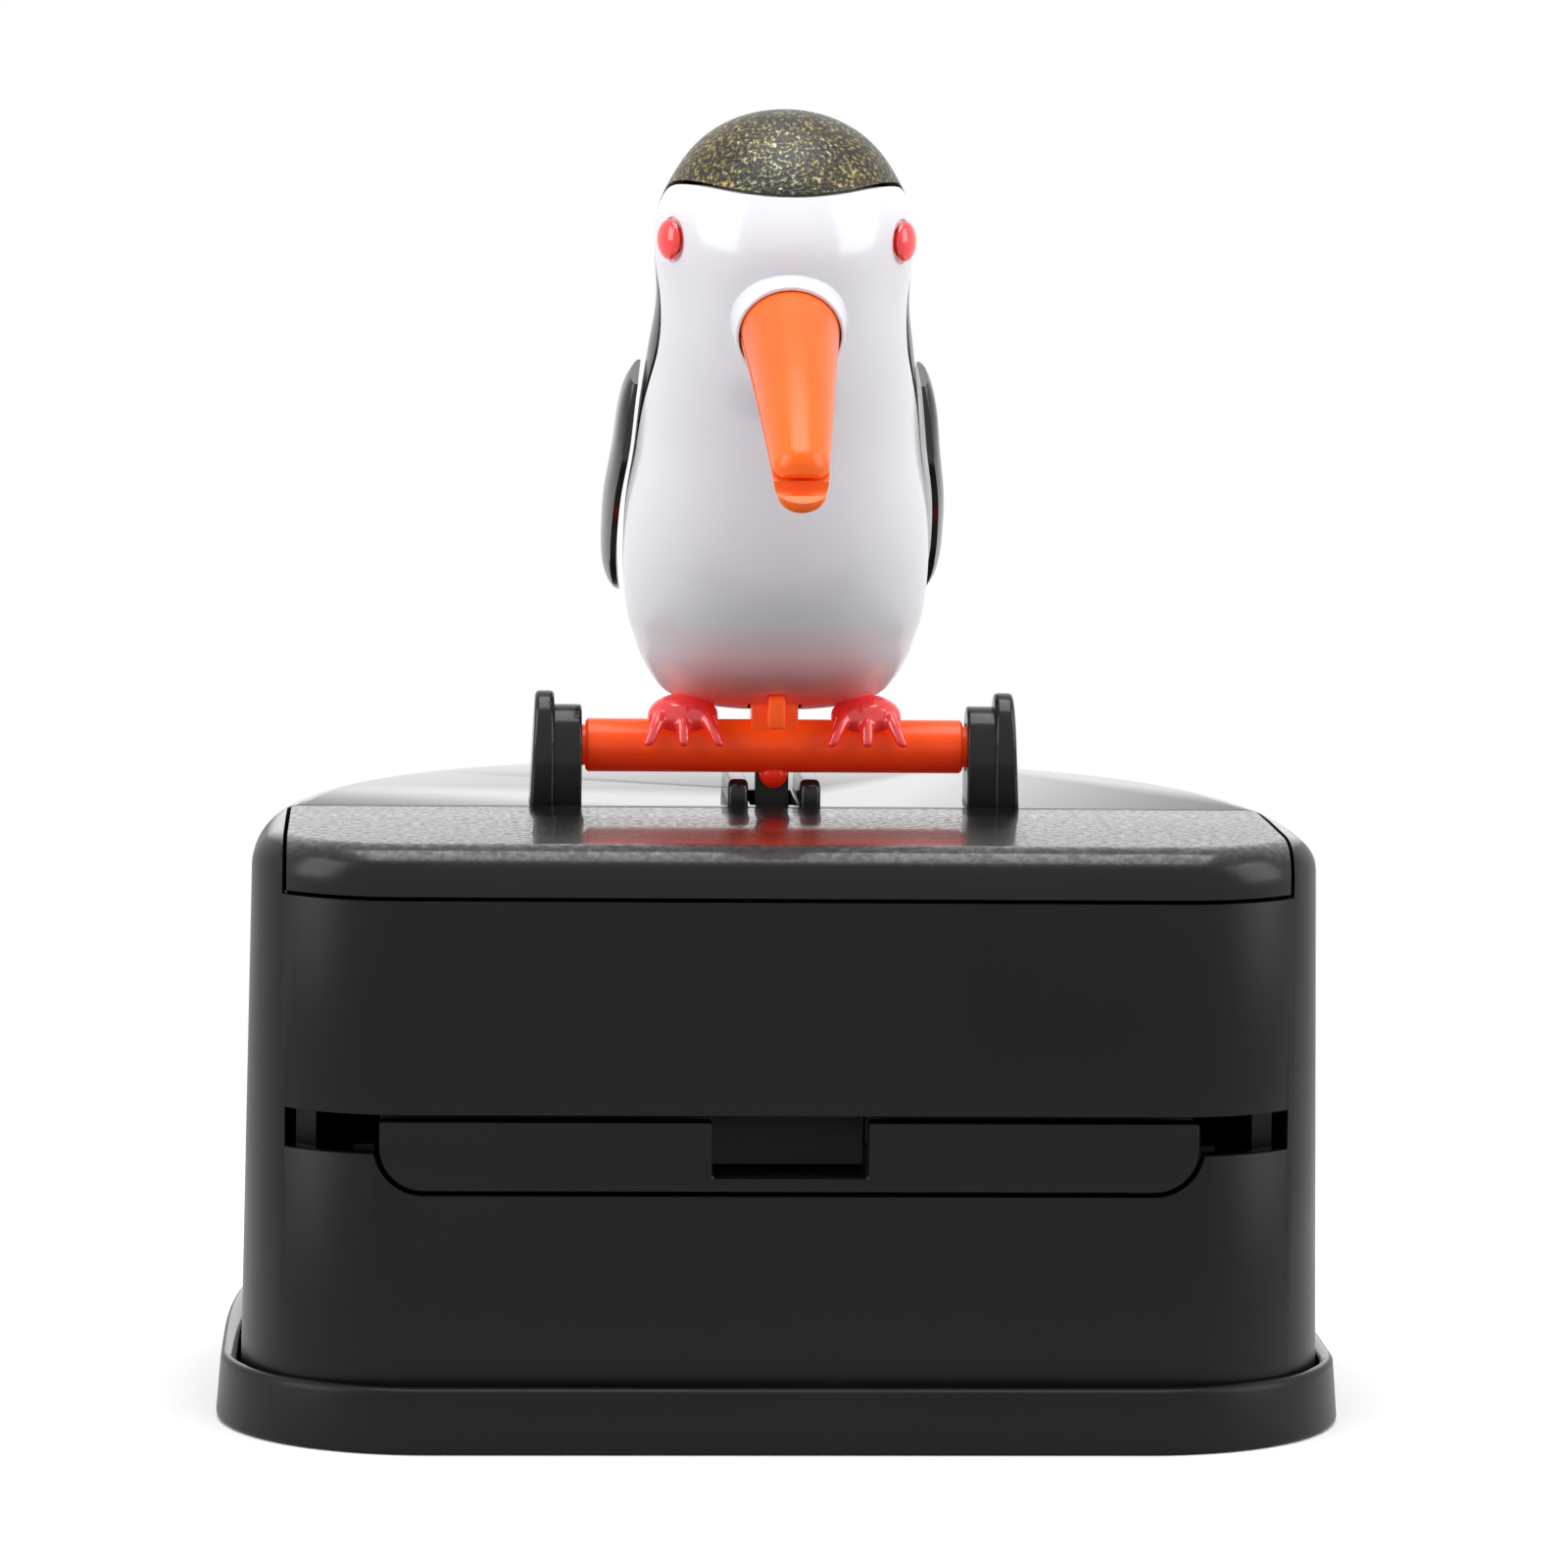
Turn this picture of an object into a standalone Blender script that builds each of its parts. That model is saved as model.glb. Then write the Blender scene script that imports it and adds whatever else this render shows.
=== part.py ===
"""Toothpick dispenser: a bird on a perch bows to a slotted box and lifts one toothpick out of its drawer.

Metres, +Z up, the front looks along -Y, and the origin is the centre of the base's underside.
"""
import math

import bmesh
import bpy
import numpy
from mathutils import Matrix, Vector

# Clearances and overruns
GAP = 0.0003
RUNNING_GAP = 0.00035
OVERRUN = 0.004
FUSE = 0.0003
MERGE = 0.00001

# What the box has to hold
PICK_DIAMETER = 0.0021

# Base tray
BASE_HALF_WIDTH = 0.0402
BASE_HALF_DEPTH = 0.0330
BASE_HEIGHT = 0.0047
BASE_FLOOR = 0.0020
BASE_DRAFT = 0.0003
BASE_ROUND = 0.0006
BASE_CORNER = 0.0150
BASE_POWER = 3.8
LEDGE = 0.0018

# Housing
HOUSING_TOP = 0.04235
HOUSING_WALL = 0.0018
TOP_WALL = 0.0020
HOUSING_DRAFT = 0.0007
HOUSING_CORNER = 0.0115
HOUSING_TOP_CORNER = 0.0105
HOUSING_POWER = 3.4
HOUSING_TOP_POWER = 2.5
HOUSING_ROUND = 0.0024
REAR_LEAN = 0.0012

# Lid, with what the housing keeps beside it
LID_SIDE = 0.0025
LID_POST_GAP = 0.00035
LID_THICKNESS = 0.0018
LID_LIP = 0.0035
LID_TRAVEL = 0.0016
RAIL_WIDTH = 0.0030
RAIL_HEIGHT = 0.0015
HOOK_WIDTH = 0.0060
HOOK_THICKNESS = 0.0012
HOOK_SPACING = 0.0200

# Slot in the front wall
SLOT_TOP = 0.02363
SLOT_SIDE = 0.00315
SLOT_WING = 0.0028
SLOT_OVERHANG = 0.00275
SLOT_ROUND = 0.0036

# Drawer
DRAWER_SIDE = 0.0066
DRAWER_HEIGHT = 0.0049
DRAWER_ROUND = 0.0031
DRAWER_TOP_GAP = 0.0005
DRAWER_BEHIND = 0.0031
DRAWER_WALL = 0.0025
DRAWER_DECK = 0.0019
DRAWER_LIP = 0.0021
GROOVE_SPARE = 0.0002
NOTCH_HALF_WIDTH = 0.00545
NOTCH_DEPTH = 0.0039
NOTCH_LENGTH = 0.0060
SOCKET_WALL = 0.0012

# Feed bed
BED_THICKNESS = 0.0018
BED_SIDE = 0.0020
BED_BEHIND = 0.0016
RAIL_THICKNESS = 0.0015
RAIL_RISE = 0.0026
LEG_THICKNESS = 0.0018
LEG_SPAN_SHARES = (0.30, 0.94)
STOP_OFFSET = 0.0140
STOP_WIDTH = 0.0034
STOP_THICKNESS = 0.0014
STOP_AHEAD = 0.0190

# Hopper
HOPPER_WALL = 0.0014
HOPPER_THROAT = 0.0028
HOPPER_AHEAD = 0.0063
HOPPER_DROP = 0.00395
CHEEK_FOOT = 0.00505

# Return springs
SPRING_DIAMETER = 0.0026
SPRING_WIRE = 0.0004
SPRING_COILS = 8
SPRING_POINTS_PER_COIL = 9

# Perch, its axis placed from the front face and the housing's top
AXIS_SETBACK = 0.02865
AXIS_RISE = 0.00425
BAR_RADIUS = 0.00195
JOURNAL_RADIUS = 0.0015
BAR_HALF_LENGTH = 0.0167
POST_GAP_HALF = 0.0138
BOSS_WIDTH = 0.0020
FLANGE_WIDTH = 0.0014
BOSS_RADIUS = 0.0030
FLANGE_RADIUS = 0.0040
BOSS_HALF_DEPTH = 0.0025
FLANGE_HALF_DEPTH = 0.0027
POST_FLARE = 0.0004
NUB_RADIUS = 0.00104
NUB_REACH = 0.0031
PEG_HALF_WIDTH = 0.00058
PEG_THICKNESS = 0.0012
PEG_HEIGHT = 0.0040
PEG_FORWARD = 0.0034
STEM_HALF_WIDTH = 0.0017
STEM_HALF_DEPTH = 0.0015
STEM_HEIGHT = 0.0150
RIB_INNER = 0.0019
RIB_THICKNESS = 0.0015
RIB_HEIGHT = 0.0019
RIB_AHEAD = 0.0018
RIB_BEHIND = 0.0092
WINDOW_AHEAD = 0.0012
WINDOW_BEHIND = 0.0090

# Rocker, with the angle in degrees that a full bow swings it
ROCKER_ANGLE = 16.5
PIVOT_BEHIND = 0.0025
PIVOT_DROP = 0.00305
PIN_RADIUS = 0.0010
PIN_HALF_LENGTH = 0.0052
ROCKER_HUB = 0.0021
ROCKER_HALF_WIDTH = 0.0012
TONGUE_HALF_THICKNESS = 0.0008
TONGUE_DROP = 0.0008
ARM_HALF_THICKNESS = 0.0008
ARM_SEAT = 0.00197
ARM_END_RADIUS = 0.0015
LUG_THICKNESS = 0.0016
LUG_RADIUS = 0.0024

# Bird body: overall sizes, and its form in shares of them
BIRD_SEAT = 0.0036
BIRD_HEIGHT = 0.0432
BIRD_HALF_WIDTH = 0.0108
BIRD_HALF_DEPTH = 0.0108
BIRD_LEAN = 0.0100
BIRD_WALL = 0.0012
BIRD_LEVELS = 22
BIRD_SIDES = 28
WIDTH_SHARES = (
    (0.0, 1.68), (0.05, 1.62), (0.10, 1.44), (0.20, 1.22), (0.30, 1.09), (0.40, 1.0), (0.50, 0.94),
    (0.60, 0.905), (0.68, 0.905), (0.75, 0.99), (0.82, 1.11), (0.90, 1.18), (1.0, 1.32),
)
DEPTH_SHARES = (
    (0.0, 1.45), (0.05, 1.34), (0.11, 1.14), (0.18, 1.06), (0.27, 1.0), (0.37, 0.965), (0.46, 0.95),
    (0.57, 0.93), (0.69, 0.93), (0.78, 1.07), (0.88, 1.155), (1.0, 1.18),
)
LEAN_SHARES = (
    (0.0, -0.08), (0.18, -0.07), (0.27, -0.02), (0.37, 0.02), (0.46, 0.10), (0.57, 0.29), (0.69, 0.545),
    (0.78, 0.645), (0.88, 0.65), (1.0, 0.66),
)
# Parting line between the shells, as shares of the bird's height and of its half depth before the lean
PARTING_SHARES = (
    (0.80, -1.60), (0.845, -0.95), (0.872, -0.50), (0.866, -0.12), (0.82, 0.04), (0.76, 0.05), (0.69, 0.02),
    (0.60, 0.0), (0.46, 0.0), (0.27, 0.0), (0.09, 0.0), (-0.10, 0.0),
)
PARTING_GAP = 0.0003

# Tail
TAIL_REACH = 0.0215
TAIL_TIP_RISE = 0.0010
TAIL_ROOT_SHARE = 0.25
TAIL_HALF_WIDTH = 0.0042
TAIL_THICKNESS = 0.0022
TAIL_SIDES = 16
# Stations along the tail, each with its share of the root's width and thickness
TAIL_SHARES = ((0.0, 1.0, 1.0), (0.35, 0.92, 0.85), (0.70, 0.80, 0.68), (0.94, 0.68, 0.55), (1.0, 0.50, 0.30))

# Beak, its root sunk behind the face
BEAK_HEIGHT_SHARE = 0.662
BEAK_SINK = 0.0015
BEAK_REACH = 0.0219
BEAK_DROP = 0.01187
BEAK_ROOT_RADIUS = 0.0038
BEAK_TIP_RADIUS = 0.0017
BEAK_SAG = 0.0007
BEAK_SLIT = 0.0003
UPPER_LENGTH_SHARE = 0.92
PICK_SEAT_SHARE = 0.935
PICK_GRIP_SHARE = 0.4
BEAK_HOLE_SHARE = -0.12
BEAK_TANGENT_SHARE = 0.01
BEAK_SIDES = 14
# Stations along a mandible, each with how full it is there
MANDIBLE_SHARES = (
    (0.0, 1.0), (0.16, 1.0), (0.32, 1.0), (0.48, 1.0), (0.64, 1.0), (0.80, 1.0), (0.90, 1.0), (0.955, 0.93),
    (0.985, 0.78), (1.0, 0.50),
)
COLLAR_WIDTH = 0.0005
COLLAR_LENGTH_SHARES = (0.02, 0.17)

# Eyes
EYE_RADIUS = 0.00145
EYE_BULGE = 0.0007
EYE_STEM_RADIUS = 0.0008
EYE_STEM_LENGTH = 0.0022
EYE_HEIGHT_SHARE = 0.78
EYE_FORWARD_SHARE = 0.56

# Wings
WING_LENGTH = 0.0235
WING_HALF_WIDTH = 0.0044
WING_THICKNESS = 0.0012
WING_AHEAD = 0.0030
WING_HEIGHT_SHARE = 0.5787
WING_SLOPE = 50.0
WING_FLARE = 0.0025
WING_STEPS = 14
WING_LANES = 8
WING_WRAP_SHARE = 0.25
WING_WRAP_LIMIT_SHARE = 1.2
WING_EDGE_SHARE = 0.55
# Stations along a wing, each with its share of the full width
WING_SHARES = (
    (0.0, 0.30), (0.10, 0.62), (0.25, 0.96), (0.40, 1.06), (0.60, 1.0), (0.80, 0.80), (0.93, 0.52), (1.0, 0.25),
)

# Feet
FOOT_OFFSET = 0.0067
FOOT_RADIUS = 0.0021
FOOT_LENGTH_SHARES = (1.24, 0.85, 0.80)
FOOT_RISE = 0.0022
TOE_RADIUS = 0.00058
TOE_SPREAD = 0.00265
TOE_START = 80.0
TOE_END = 176.0
TOE_POINTS = 9
TOE_SIDES = 8
TOE_ROOT_SPREAD_SHARE = 0.25
TOE_SEAT_SHARE = 0.85
TOE_TAPER_SHARES = (1.25, 0.70)

# Screws, placed from the housing's sides, front and rear
SCREW_SIDE = 0.0062
SCREW_REAR_SHARE = 0.55
SCREW_FRONT_INSET = 0.0107
SCREW_REAR_INSET = 0.0102
SCREW_RADIUS = 0.0011
SCREW_LENGTH = 0.0070
SCREW_HEAD_RADIUS = 0.0022
SCREW_HEAD_HEIGHT = 0.0012
SCREW_SINK = 0.0002
SCREW_HEAD_FLAT_SHARE = 0.7
SCREW_BOSS_RADIUS = 0.0028
SCREW_BOSS_CROWN = 0.0015

# Places that follow from the sizes above: the box
BODY_HALF_WIDTH = BASE_HALF_WIDTH - LEDGE
BODY_HALF_DEPTH = BASE_HALF_DEPTH - LEDGE
TOP_HALF_WIDTH = BODY_HALF_WIDTH - HOUSING_DRAFT
FRONT_Y = -(BODY_HALF_DEPTH - HOUSING_DRAFT / 2)
INNER_FRONT_Y = FRONT_Y + HOUSING_WALL
SLOT_HALF_WIDTH = BODY_HALF_WIDTH - SLOT_SIDE
PICK_LENGTH = 2 * (SLOT_HALF_WIDTH - SLOT_OVERHANG)

# The perch and the rocker
AXIS_Y = FRONT_Y + AXIS_SETBACK
AXIS_Z = HOUSING_TOP + AXIS_RISE
PIVOT_Y = AXIS_Y + PIVOT_BEHIND
PIVOT_Z = HOUSING_TOP - PIVOT_DROP
LID_HALF_WIDTH = TOP_HALF_WIDTH - LID_SIDE
LID_REAR_Y = AXIS_Y - FLANGE_HALF_DEPTH - LID_POST_GAP

# The drawer and what guides it
DRAWER_HALF_WIDTH = SLOT_HALF_WIDTH - DRAWER_SIDE
DRAWER_TOP = SLOT_TOP - DRAWER_TOP_GAP
DRAWER_BOTTOM = DRAWER_TOP - DRAWER_HEIGHT
DRAWER_REAR = PIVOT_Y + DRAWER_BEHIND
GROOVE_WIDTH = PICK_DIAMETER + GROOVE_SPARE
GROOVE_FRONT_Y = FRONT_Y + DRAWER_LIP
BED_TOP = DRAWER_BOTTOM - RUNNING_GAP
BED_HALF_WIDTH = BODY_HALF_WIDTH - HOUSING_WALL - BED_SIDE
BED_REAR = DRAWER_REAR + BED_BEHIND
HOPPER_REAR = AXIS_Y - HOPPER_AHEAD
HOPPER_TOP = HOUSING_TOP - HOPPER_DROP
STOP_PLACE = DRAWER_REAR - STOP_AHEAD
ARM_END_Z = DRAWER_BOTTOM + ARM_SEAT

# The bird
BIRD_BOTTOM = AXIS_Z + BIRD_SEAT
BEAK_ROOT_Z = BIRD_BOTTOM + BIRD_HEIGHT * BEAK_HEIGHT_SHARE
EYE_Z = BIRD_BOTTOM + BIRD_HEIGHT * EYE_HEIGHT_SHARE
WING_TOP_Y = AXIS_Y - WING_AHEAD
WING_TOP_Z = BIRD_BOTTOM + BIRD_HEIGHT * WING_HEIGHT_SHARE
TAIL_ROOT_Z = BIRD_BOTTOM + BIRD_HEIGHT * TAIL_ROOT_SHARE
TAIL_TIP_Z = BIRD_BOTTOM + TAIL_TIP_RISE

COLOURS = {
    "black": ((0.018, 0.018, 0.019), 0.32, 0.0),
    "lid_black": ((0.030, 0.030, 0.031), 0.45, 0.0),
    "inner_grey": ((0.10, 0.10, 0.11), 0.50, 0.0),
    "white": ((0.84, 0.83, 0.86), 0.30, 0.0),
    "wing_black": ((0.012, 0.012, 0.013), 0.22, 0.0),
    "bar_orange": ((0.93, 0.10, 0.012), 0.32, 0.0),
    "beak_orange": ((1.0, 0.22, 0.03), 0.35, 0.0),
    "red": ((0.80, 0.03, 0.03), 0.22, 0.0),
    "steel": ((0.62, 0.62, 0.64), 0.28, 1.0),
}

for old in list(bpy.data.objects):
    bpy.data.objects.remove(old)

part_collection = bpy.data.collections.new("toothpick_dispenser")
cutter_collection = bpy.data.collections.new("cutters")
bpy.context.scene.collection.children.link(part_collection)
bpy.context.scene.collection.children.link(cutter_collection)
bird_axis = bpy.data.objects.new("bird_axis", None)
bird_axis.location = (0.0, AXIS_Y, AXIS_Z)
part_collection.objects.link(bird_axis)


def material(name):
    found = bpy.data.materials.get(name)
    if found:
        return found
    colour, roughness, metallic = COLOURS[name]
    made = bpy.data.materials.new(name)
    made.use_nodes = True
    shader = made.node_tree.nodes["Principled BSDF"]
    shader.inputs["Base Color"].default_value = (*colour, 1.0)
    shader.inputs["Roughness"].default_value = roughness
    shader.inputs["Metallic"].default_value = metallic
    return made


def add_piece(name, bm, colour, pivot=(0.0, 0.0, 0.0)):
    """A sub-part from a bmesh drawn in place, with its origin at the pivot."""
    bmesh.ops.remove_doubles(bm, verts=bm.verts, dist=MERGE)
    bmesh.ops.recalc_face_normals(bm, faces=bm.faces)
    bmesh.ops.translate(bm, verts=bm.verts, vec=-Vector(pivot))
    mesh = bpy.data.meshes.new(name)
    bm.to_mesh(mesh)
    bm.free()
    mesh.materials.append(material(colour))
    mesh.shade_smooth()
    mesh.set_sharp_from_angle(angle=math.radians(35))
    piece = bpy.data.objects.new(name, mesh)
    piece.location = pivot
    part_collection.objects.link(piece)
    return piece


def add_tool(name, bm):
    """A body that only cuts or joins another."""
    bmesh.ops.remove_doubles(bm, verts=bm.verts, dist=MERGE)
    bmesh.ops.recalc_face_normals(bm, faces=bm.faces)
    mesh = bpy.data.meshes.new(name)
    bm.to_mesh(mesh)
    bm.free()
    tool = bpy.data.objects.new(name, mesh)
    tool.hide_render = True
    tool.display_type = "WIRE"
    cutter_collection.objects.link(tool)
    return tool


def combine(piece, tool, operation="DIFFERENCE"):
    modifier = piece.modifiers.new(tool.name, "BOOLEAN")
    modifier.operation = operation
    modifier.solver = "EXACT"
    modifier.object = tool


def cut(piece, name, bm):
    combine(piece, add_tool(name, bm), "DIFFERENCE")


def join(piece, name, bm):
    combine(piece, add_tool(name, bm), "UNION")


def loft(rings, bm=None):
    """Side faces between rings of equal length, closed by a face at each end."""
    bm = bm or bmesh.new()
    loops = [[bm.verts.new(point) for point in ring] for ring in rings]
    for lower, upper in zip(loops, loops[1:]):
        count = len(lower)
        for index in range(count):
            following = (index + 1) % count
            bm.faces.new((lower[index], lower[following], upper[following], upper[index]))
    bm.faces.new(reversed(loops[0]))
    bm.faces.new(loops[-1])
    return bm


def turned(name, profile, colour, place, direction, steps):
    """A piece turned round a line from its profile of (radius, along) points, listed from the far end back."""
    bm = bmesh.new()
    verts = [bm.verts.new((radius, 0.0, along)) for radius, along in profile]
    for pair in zip(verts, verts[1:]):
        bm.edges.new(pair)
    mesh = bpy.data.meshes.new(name)
    bm.to_mesh(mesh)
    bm.free()
    mesh.materials.append(material(colour))
    piece = bpy.data.objects.new(name, mesh)
    piece.location = place
    piece.rotation_euler = Vector(direction).to_track_quat("Z", "Y").to_euler()
    part_collection.objects.link(piece)
    screw = piece.modifiers.new("turn", "SCREW")
    screw.axis = "Z"
    screw.steps = steps
    screw.render_steps = steps
    screw.use_merge_vertices = True
    screw.merge_threshold = MERGE
    return piece


def box(low, high):
    bm = bmesh.new()
    size = [high[i] - low[i] for i in range(3)]
    centre = [(high[i] + low[i]) / 2 for i in range(3)]
    place = Matrix.Translation(centre) @ Matrix.Diagonal((*size, 1))
    bmesh.ops.create_cube(bm, size=1, matrix=place)
    return bm


def side_prism(outline, low_x, high_x):
    """A (y, z) outline drawn out along X."""
    return loft([[(x, y, z) for y, z in outline] for x in (low_x, high_x)])


def front_prism(outline, low_y, high_y):
    """An (x, z) outline drawn out along Y."""
    return loft([[(x, y, z) for x, z in outline] for y in (low_y, high_y)])


def rod(radius, low, high, sides=24, end_radius=None):
    """A cylinder or cone between two points."""
    low, high = Vector(low), Vector(high)
    along = high - low
    bm = bmesh.new()
    place = Matrix.Translation((low + high) / 2) @ along.to_track_quat("Z", "Y").to_matrix().to_4x4()
    end_radius = radius if end_radius is None else end_radius
    bmesh.ops.create_cone(
        bm, cap_ends=True, segments=sides, radius1=radius, radius2=end_radius, depth=along.length, matrix=place)
    return bm


def arc(centre, radius, start, end, steps):
    """Points on an arc, angles in degrees."""
    points = []
    for index in range(steps + 1):
        angle = math.radians(start + (end - start) * index / steps)
        points.append((centre[0] + radius * math.cos(angle), centre[1] + radius * math.sin(angle)))
    return points


def between(shares, at):
    """A smooth value from a table of (place, value) shares."""
    places = [place for place, _ in shares]
    values = [value for _, value in shares]
    if at <= places[0]:
        return values[0]
    if at >= places[-1]:
        return values[-1]
    index = max(i for i, place in enumerate(places) if place <= at)
    index = min(index, len(places) - 2)

    def slope(i):
        before = max(i - 1, 0)
        after = min(i + 1, len(places) - 1)
        return (values[after] - values[before]) / (places[after] - places[before])

    span = places[index + 1] - places[index]
    t = (at - places[index]) / span
    return (
        (2 * t ** 3 - 3 * t ** 2 + 1) * values[index]
        + (t ** 3 - 2 * t ** 2 + t) * span * slope(index)
        + (3 * t ** 2 - 2 * t ** 3) * values[index + 1]
        + (t ** 3 - t ** 2) * span * slope(index + 1))


# Plan of the box: straight front, round front corners and one superellipse round the rear

def signed_power(value, power):
    return math.copysign(abs(value) ** power, value)


def plan(half_width, front, rear, corner, power, z, corner_steps=6, rear_steps=30):
    right = arc((half_width - corner, front + corner), corner, -90, 0, corner_steps)
    side_start = front + corner
    reach = rear - side_start
    back = []
    for index in range(1, rear_steps):
        angle = math.pi * index / rear_steps
        x = half_width * signed_power(math.cos(angle), 2 / power)
        back.append((x, side_start + reach * math.sin(angle) ** (2 / power)))
    left = [(-x, y) for x, y in reversed(right)]
    return [(x, y, z) for x, y in right + back + left]


def housing_plan(z, inset):
    """The housing's outline at a height, drawn in by an inset."""
    share = (z - BASE_HEIGHT) / (HOUSING_TOP - BASE_HEIGHT)
    half_width = BODY_HALF_WIDTH - HOUSING_DRAFT * share
    front = -BODY_HALF_DEPTH + HOUSING_DRAFT * share
    rear = BODY_HALF_DEPTH - REAR_LEAN * share
    corner = HOUSING_CORNER + (HOUSING_TOP_CORNER - HOUSING_CORNER) * share
    power = HOUSING_POWER + (HOUSING_TOP_POWER - HOUSING_POWER) * share
    return plan(half_width - inset, front + inset, rear - inset, corner - inset, power, z)


def rounded_levels(top, radius, steps=4):
    """Heights and insets of a rounded top edge."""
    levels = []
    for index in range(steps + 1):
        angle = math.pi / 2 * index / steps
        levels.append((top - radius + radius * math.sin(angle), radius * (1 - math.cos(angle))))
    return levels


def housing_envelope(low):
    middle = (low + HOUSING_TOP - HOUSING_ROUND) / 2
    levels = [(low, 0.0), (middle, 0.0)] + rounded_levels(HOUSING_TOP, HOUSING_ROUND)
    return loft([housing_plan(z, inset) for z, inset in levels])


def base_plan(z, inset):
    return plan(
        BASE_HALF_WIDTH - inset, -BASE_HALF_DEPTH + inset, BASE_HALF_DEPTH - inset, BASE_CORNER - inset,
        BASE_POWER, z)


def screw_places():
    front_x, front_y = BODY_HALF_WIDTH - SCREW_SIDE, SCREW_FRONT_INSET - BODY_HALF_DEPTH
    rear_x, rear_y = BODY_HALF_WIDTH * SCREW_REAR_SHARE, BODY_HALF_DEPTH - SCREW_REAR_INSET
    return [(-front_x, front_y), (front_x, front_y), (-rear_x, rear_y), (rear_x, rear_y)]


def make_base():
    levels = [(0.0, 0.0), (BASE_HEIGHT - BASE_ROUND, BASE_DRAFT)]
    for z, inset in rounded_levels(BASE_HEIGHT, BASE_ROUND, 2)[1:]:
        levels.append((z, BASE_DRAFT + inset))
    base = add_piece("base", loft([base_plan(z, inset) for z, inset in levels]), "black")
    pocket = [housing_plan(z, -GAP) for z in (BASE_FLOOR, BASE_HEIGHT + OVERRUN)]
    cut(base, "base_pocket", loft(pocket))
    for number, (x, y) in enumerate(screw_places(), 1):
        hole = rod(SCREW_RADIUS + GAP, (x, y, -OVERRUN), (x, y, BASE_FLOOR + OVERRUN), 16)
        cut(base, f"base_hole_{number}", hole)
        seat = rod(SCREW_HEAD_RADIUS + GAP, (x, y, -OVERRUN), (x, y, SCREW_SINK + SCREW_HEAD_HEIGHT), 20)
        cut(base, f"base_seat_{number}", seat)
    return base


def make_housing():
    foot = BASE_FLOOR + GAP
    housing = add_piece("housing", housing_envelope(foot), "black")
    ceiling = HOUSING_TOP - TOP_WALL
    hollow = [housing_plan(z, HOUSING_WALL) for z in (foot - OVERRUN, (foot + ceiling) / 2, ceiling)]
    cut(housing, "housing_hollow", loft(hollow))
    add_lid_rails(housing)
    cut_lid_opening(housing, ceiling)
    cut_front_slot(housing)
    add_screw_bosses(housing, foot)
    add_rocker_lugs(housing, ceiling)
    add_guide_ribs(housing)
    add_posts(housing)
    return housing


def add_lid_rails(housing):
    """Two rails under the lid's sides, fused to the side walls."""
    inner = TOP_HALF_WIDTH - HOUSING_WALL
    top = HOUSING_TOP - LID_THICKNESS - GAP
    for name, side in (("left", -1), ("right", 1)):
        reach = sorted((side * (LID_HALF_WIDTH - RAIL_WIDTH / 2), side * (inner + FUSE)))
        low = (reach[0], FRONT_Y + HOUSING_TOP_CORNER, top - RAIL_HEIGHT)
        high = (reach[1], LID_REAR_Y + RAIL_WIDTH, top)
        join(housing, f"lid_rail_{name}", box(low, high))


def cut_lid_opening(housing, ceiling):
    half_width = LID_HALF_WIDTH + GAP
    pocket_floor = HOUSING_TOP - LID_THICKNESS - GAP
    cut(housing, "lid_pocket", box(
        (-half_width, FRONT_Y - OVERRUN, pocket_floor),
        (half_width, LID_REAR_Y + GAP, HOUSING_TOP + OVERRUN)))
    mouth_half = LID_HALF_WIDTH - RAIL_WIDTH / 2
    cut(housing, "lid_mouth", box(
        (-mouth_half, INNER_FRONT_Y, ceiling - RAIL_HEIGHT),
        (mouth_half, LID_REAR_Y + GAP, HOUSING_TOP)))
    cut(housing, "lid_lip_opening", box(
        (-half_width, FRONT_Y - OVERRUN, HOUSING_TOP - LID_LIP - GAP),
        (half_width, FRONT_Y + HOUSING_TOP_CORNER - GAP, HOUSING_TOP + OVERRUN)))


def cut_front_slot(housing):
    """The slot: one pick wide at its ends, and deeper where the drawer comes out."""
    wing_floor = SLOT_TOP - SLOT_WING
    floor = DRAWER_BOTTOM - GAP
    centre_half = DRAWER_HALF_WIDTH + GAP + GAP / 2
    right = arc((centre_half - SLOT_ROUND, floor + SLOT_ROUND), SLOT_ROUND, -90, 0, 5)
    right = [point for point in right if point[1] <= wing_floor]
    outline = right + [(centre_half, wing_floor), (SLOT_HALF_WIDTH, wing_floor), (SLOT_HALF_WIDTH, SLOT_TOP)]
    outline += [(-x, z) for x, z in reversed(outline)]
    cut(housing, "front_slot", front_prism(outline, FRONT_Y - OVERRUN, INNER_FRONT_Y + HOUSING_CORNER))


def rear_wall_y(x, z):
    """The rear wall's outer face at a height, beside the middle plane."""
    half = sorted((place, y) for place, y, _ in housing_plan(z, 0.0) if place >= 0 and y > 0)
    return float(numpy.interp(abs(x), [place for place, _ in half], [y for _, y in half]))


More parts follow.
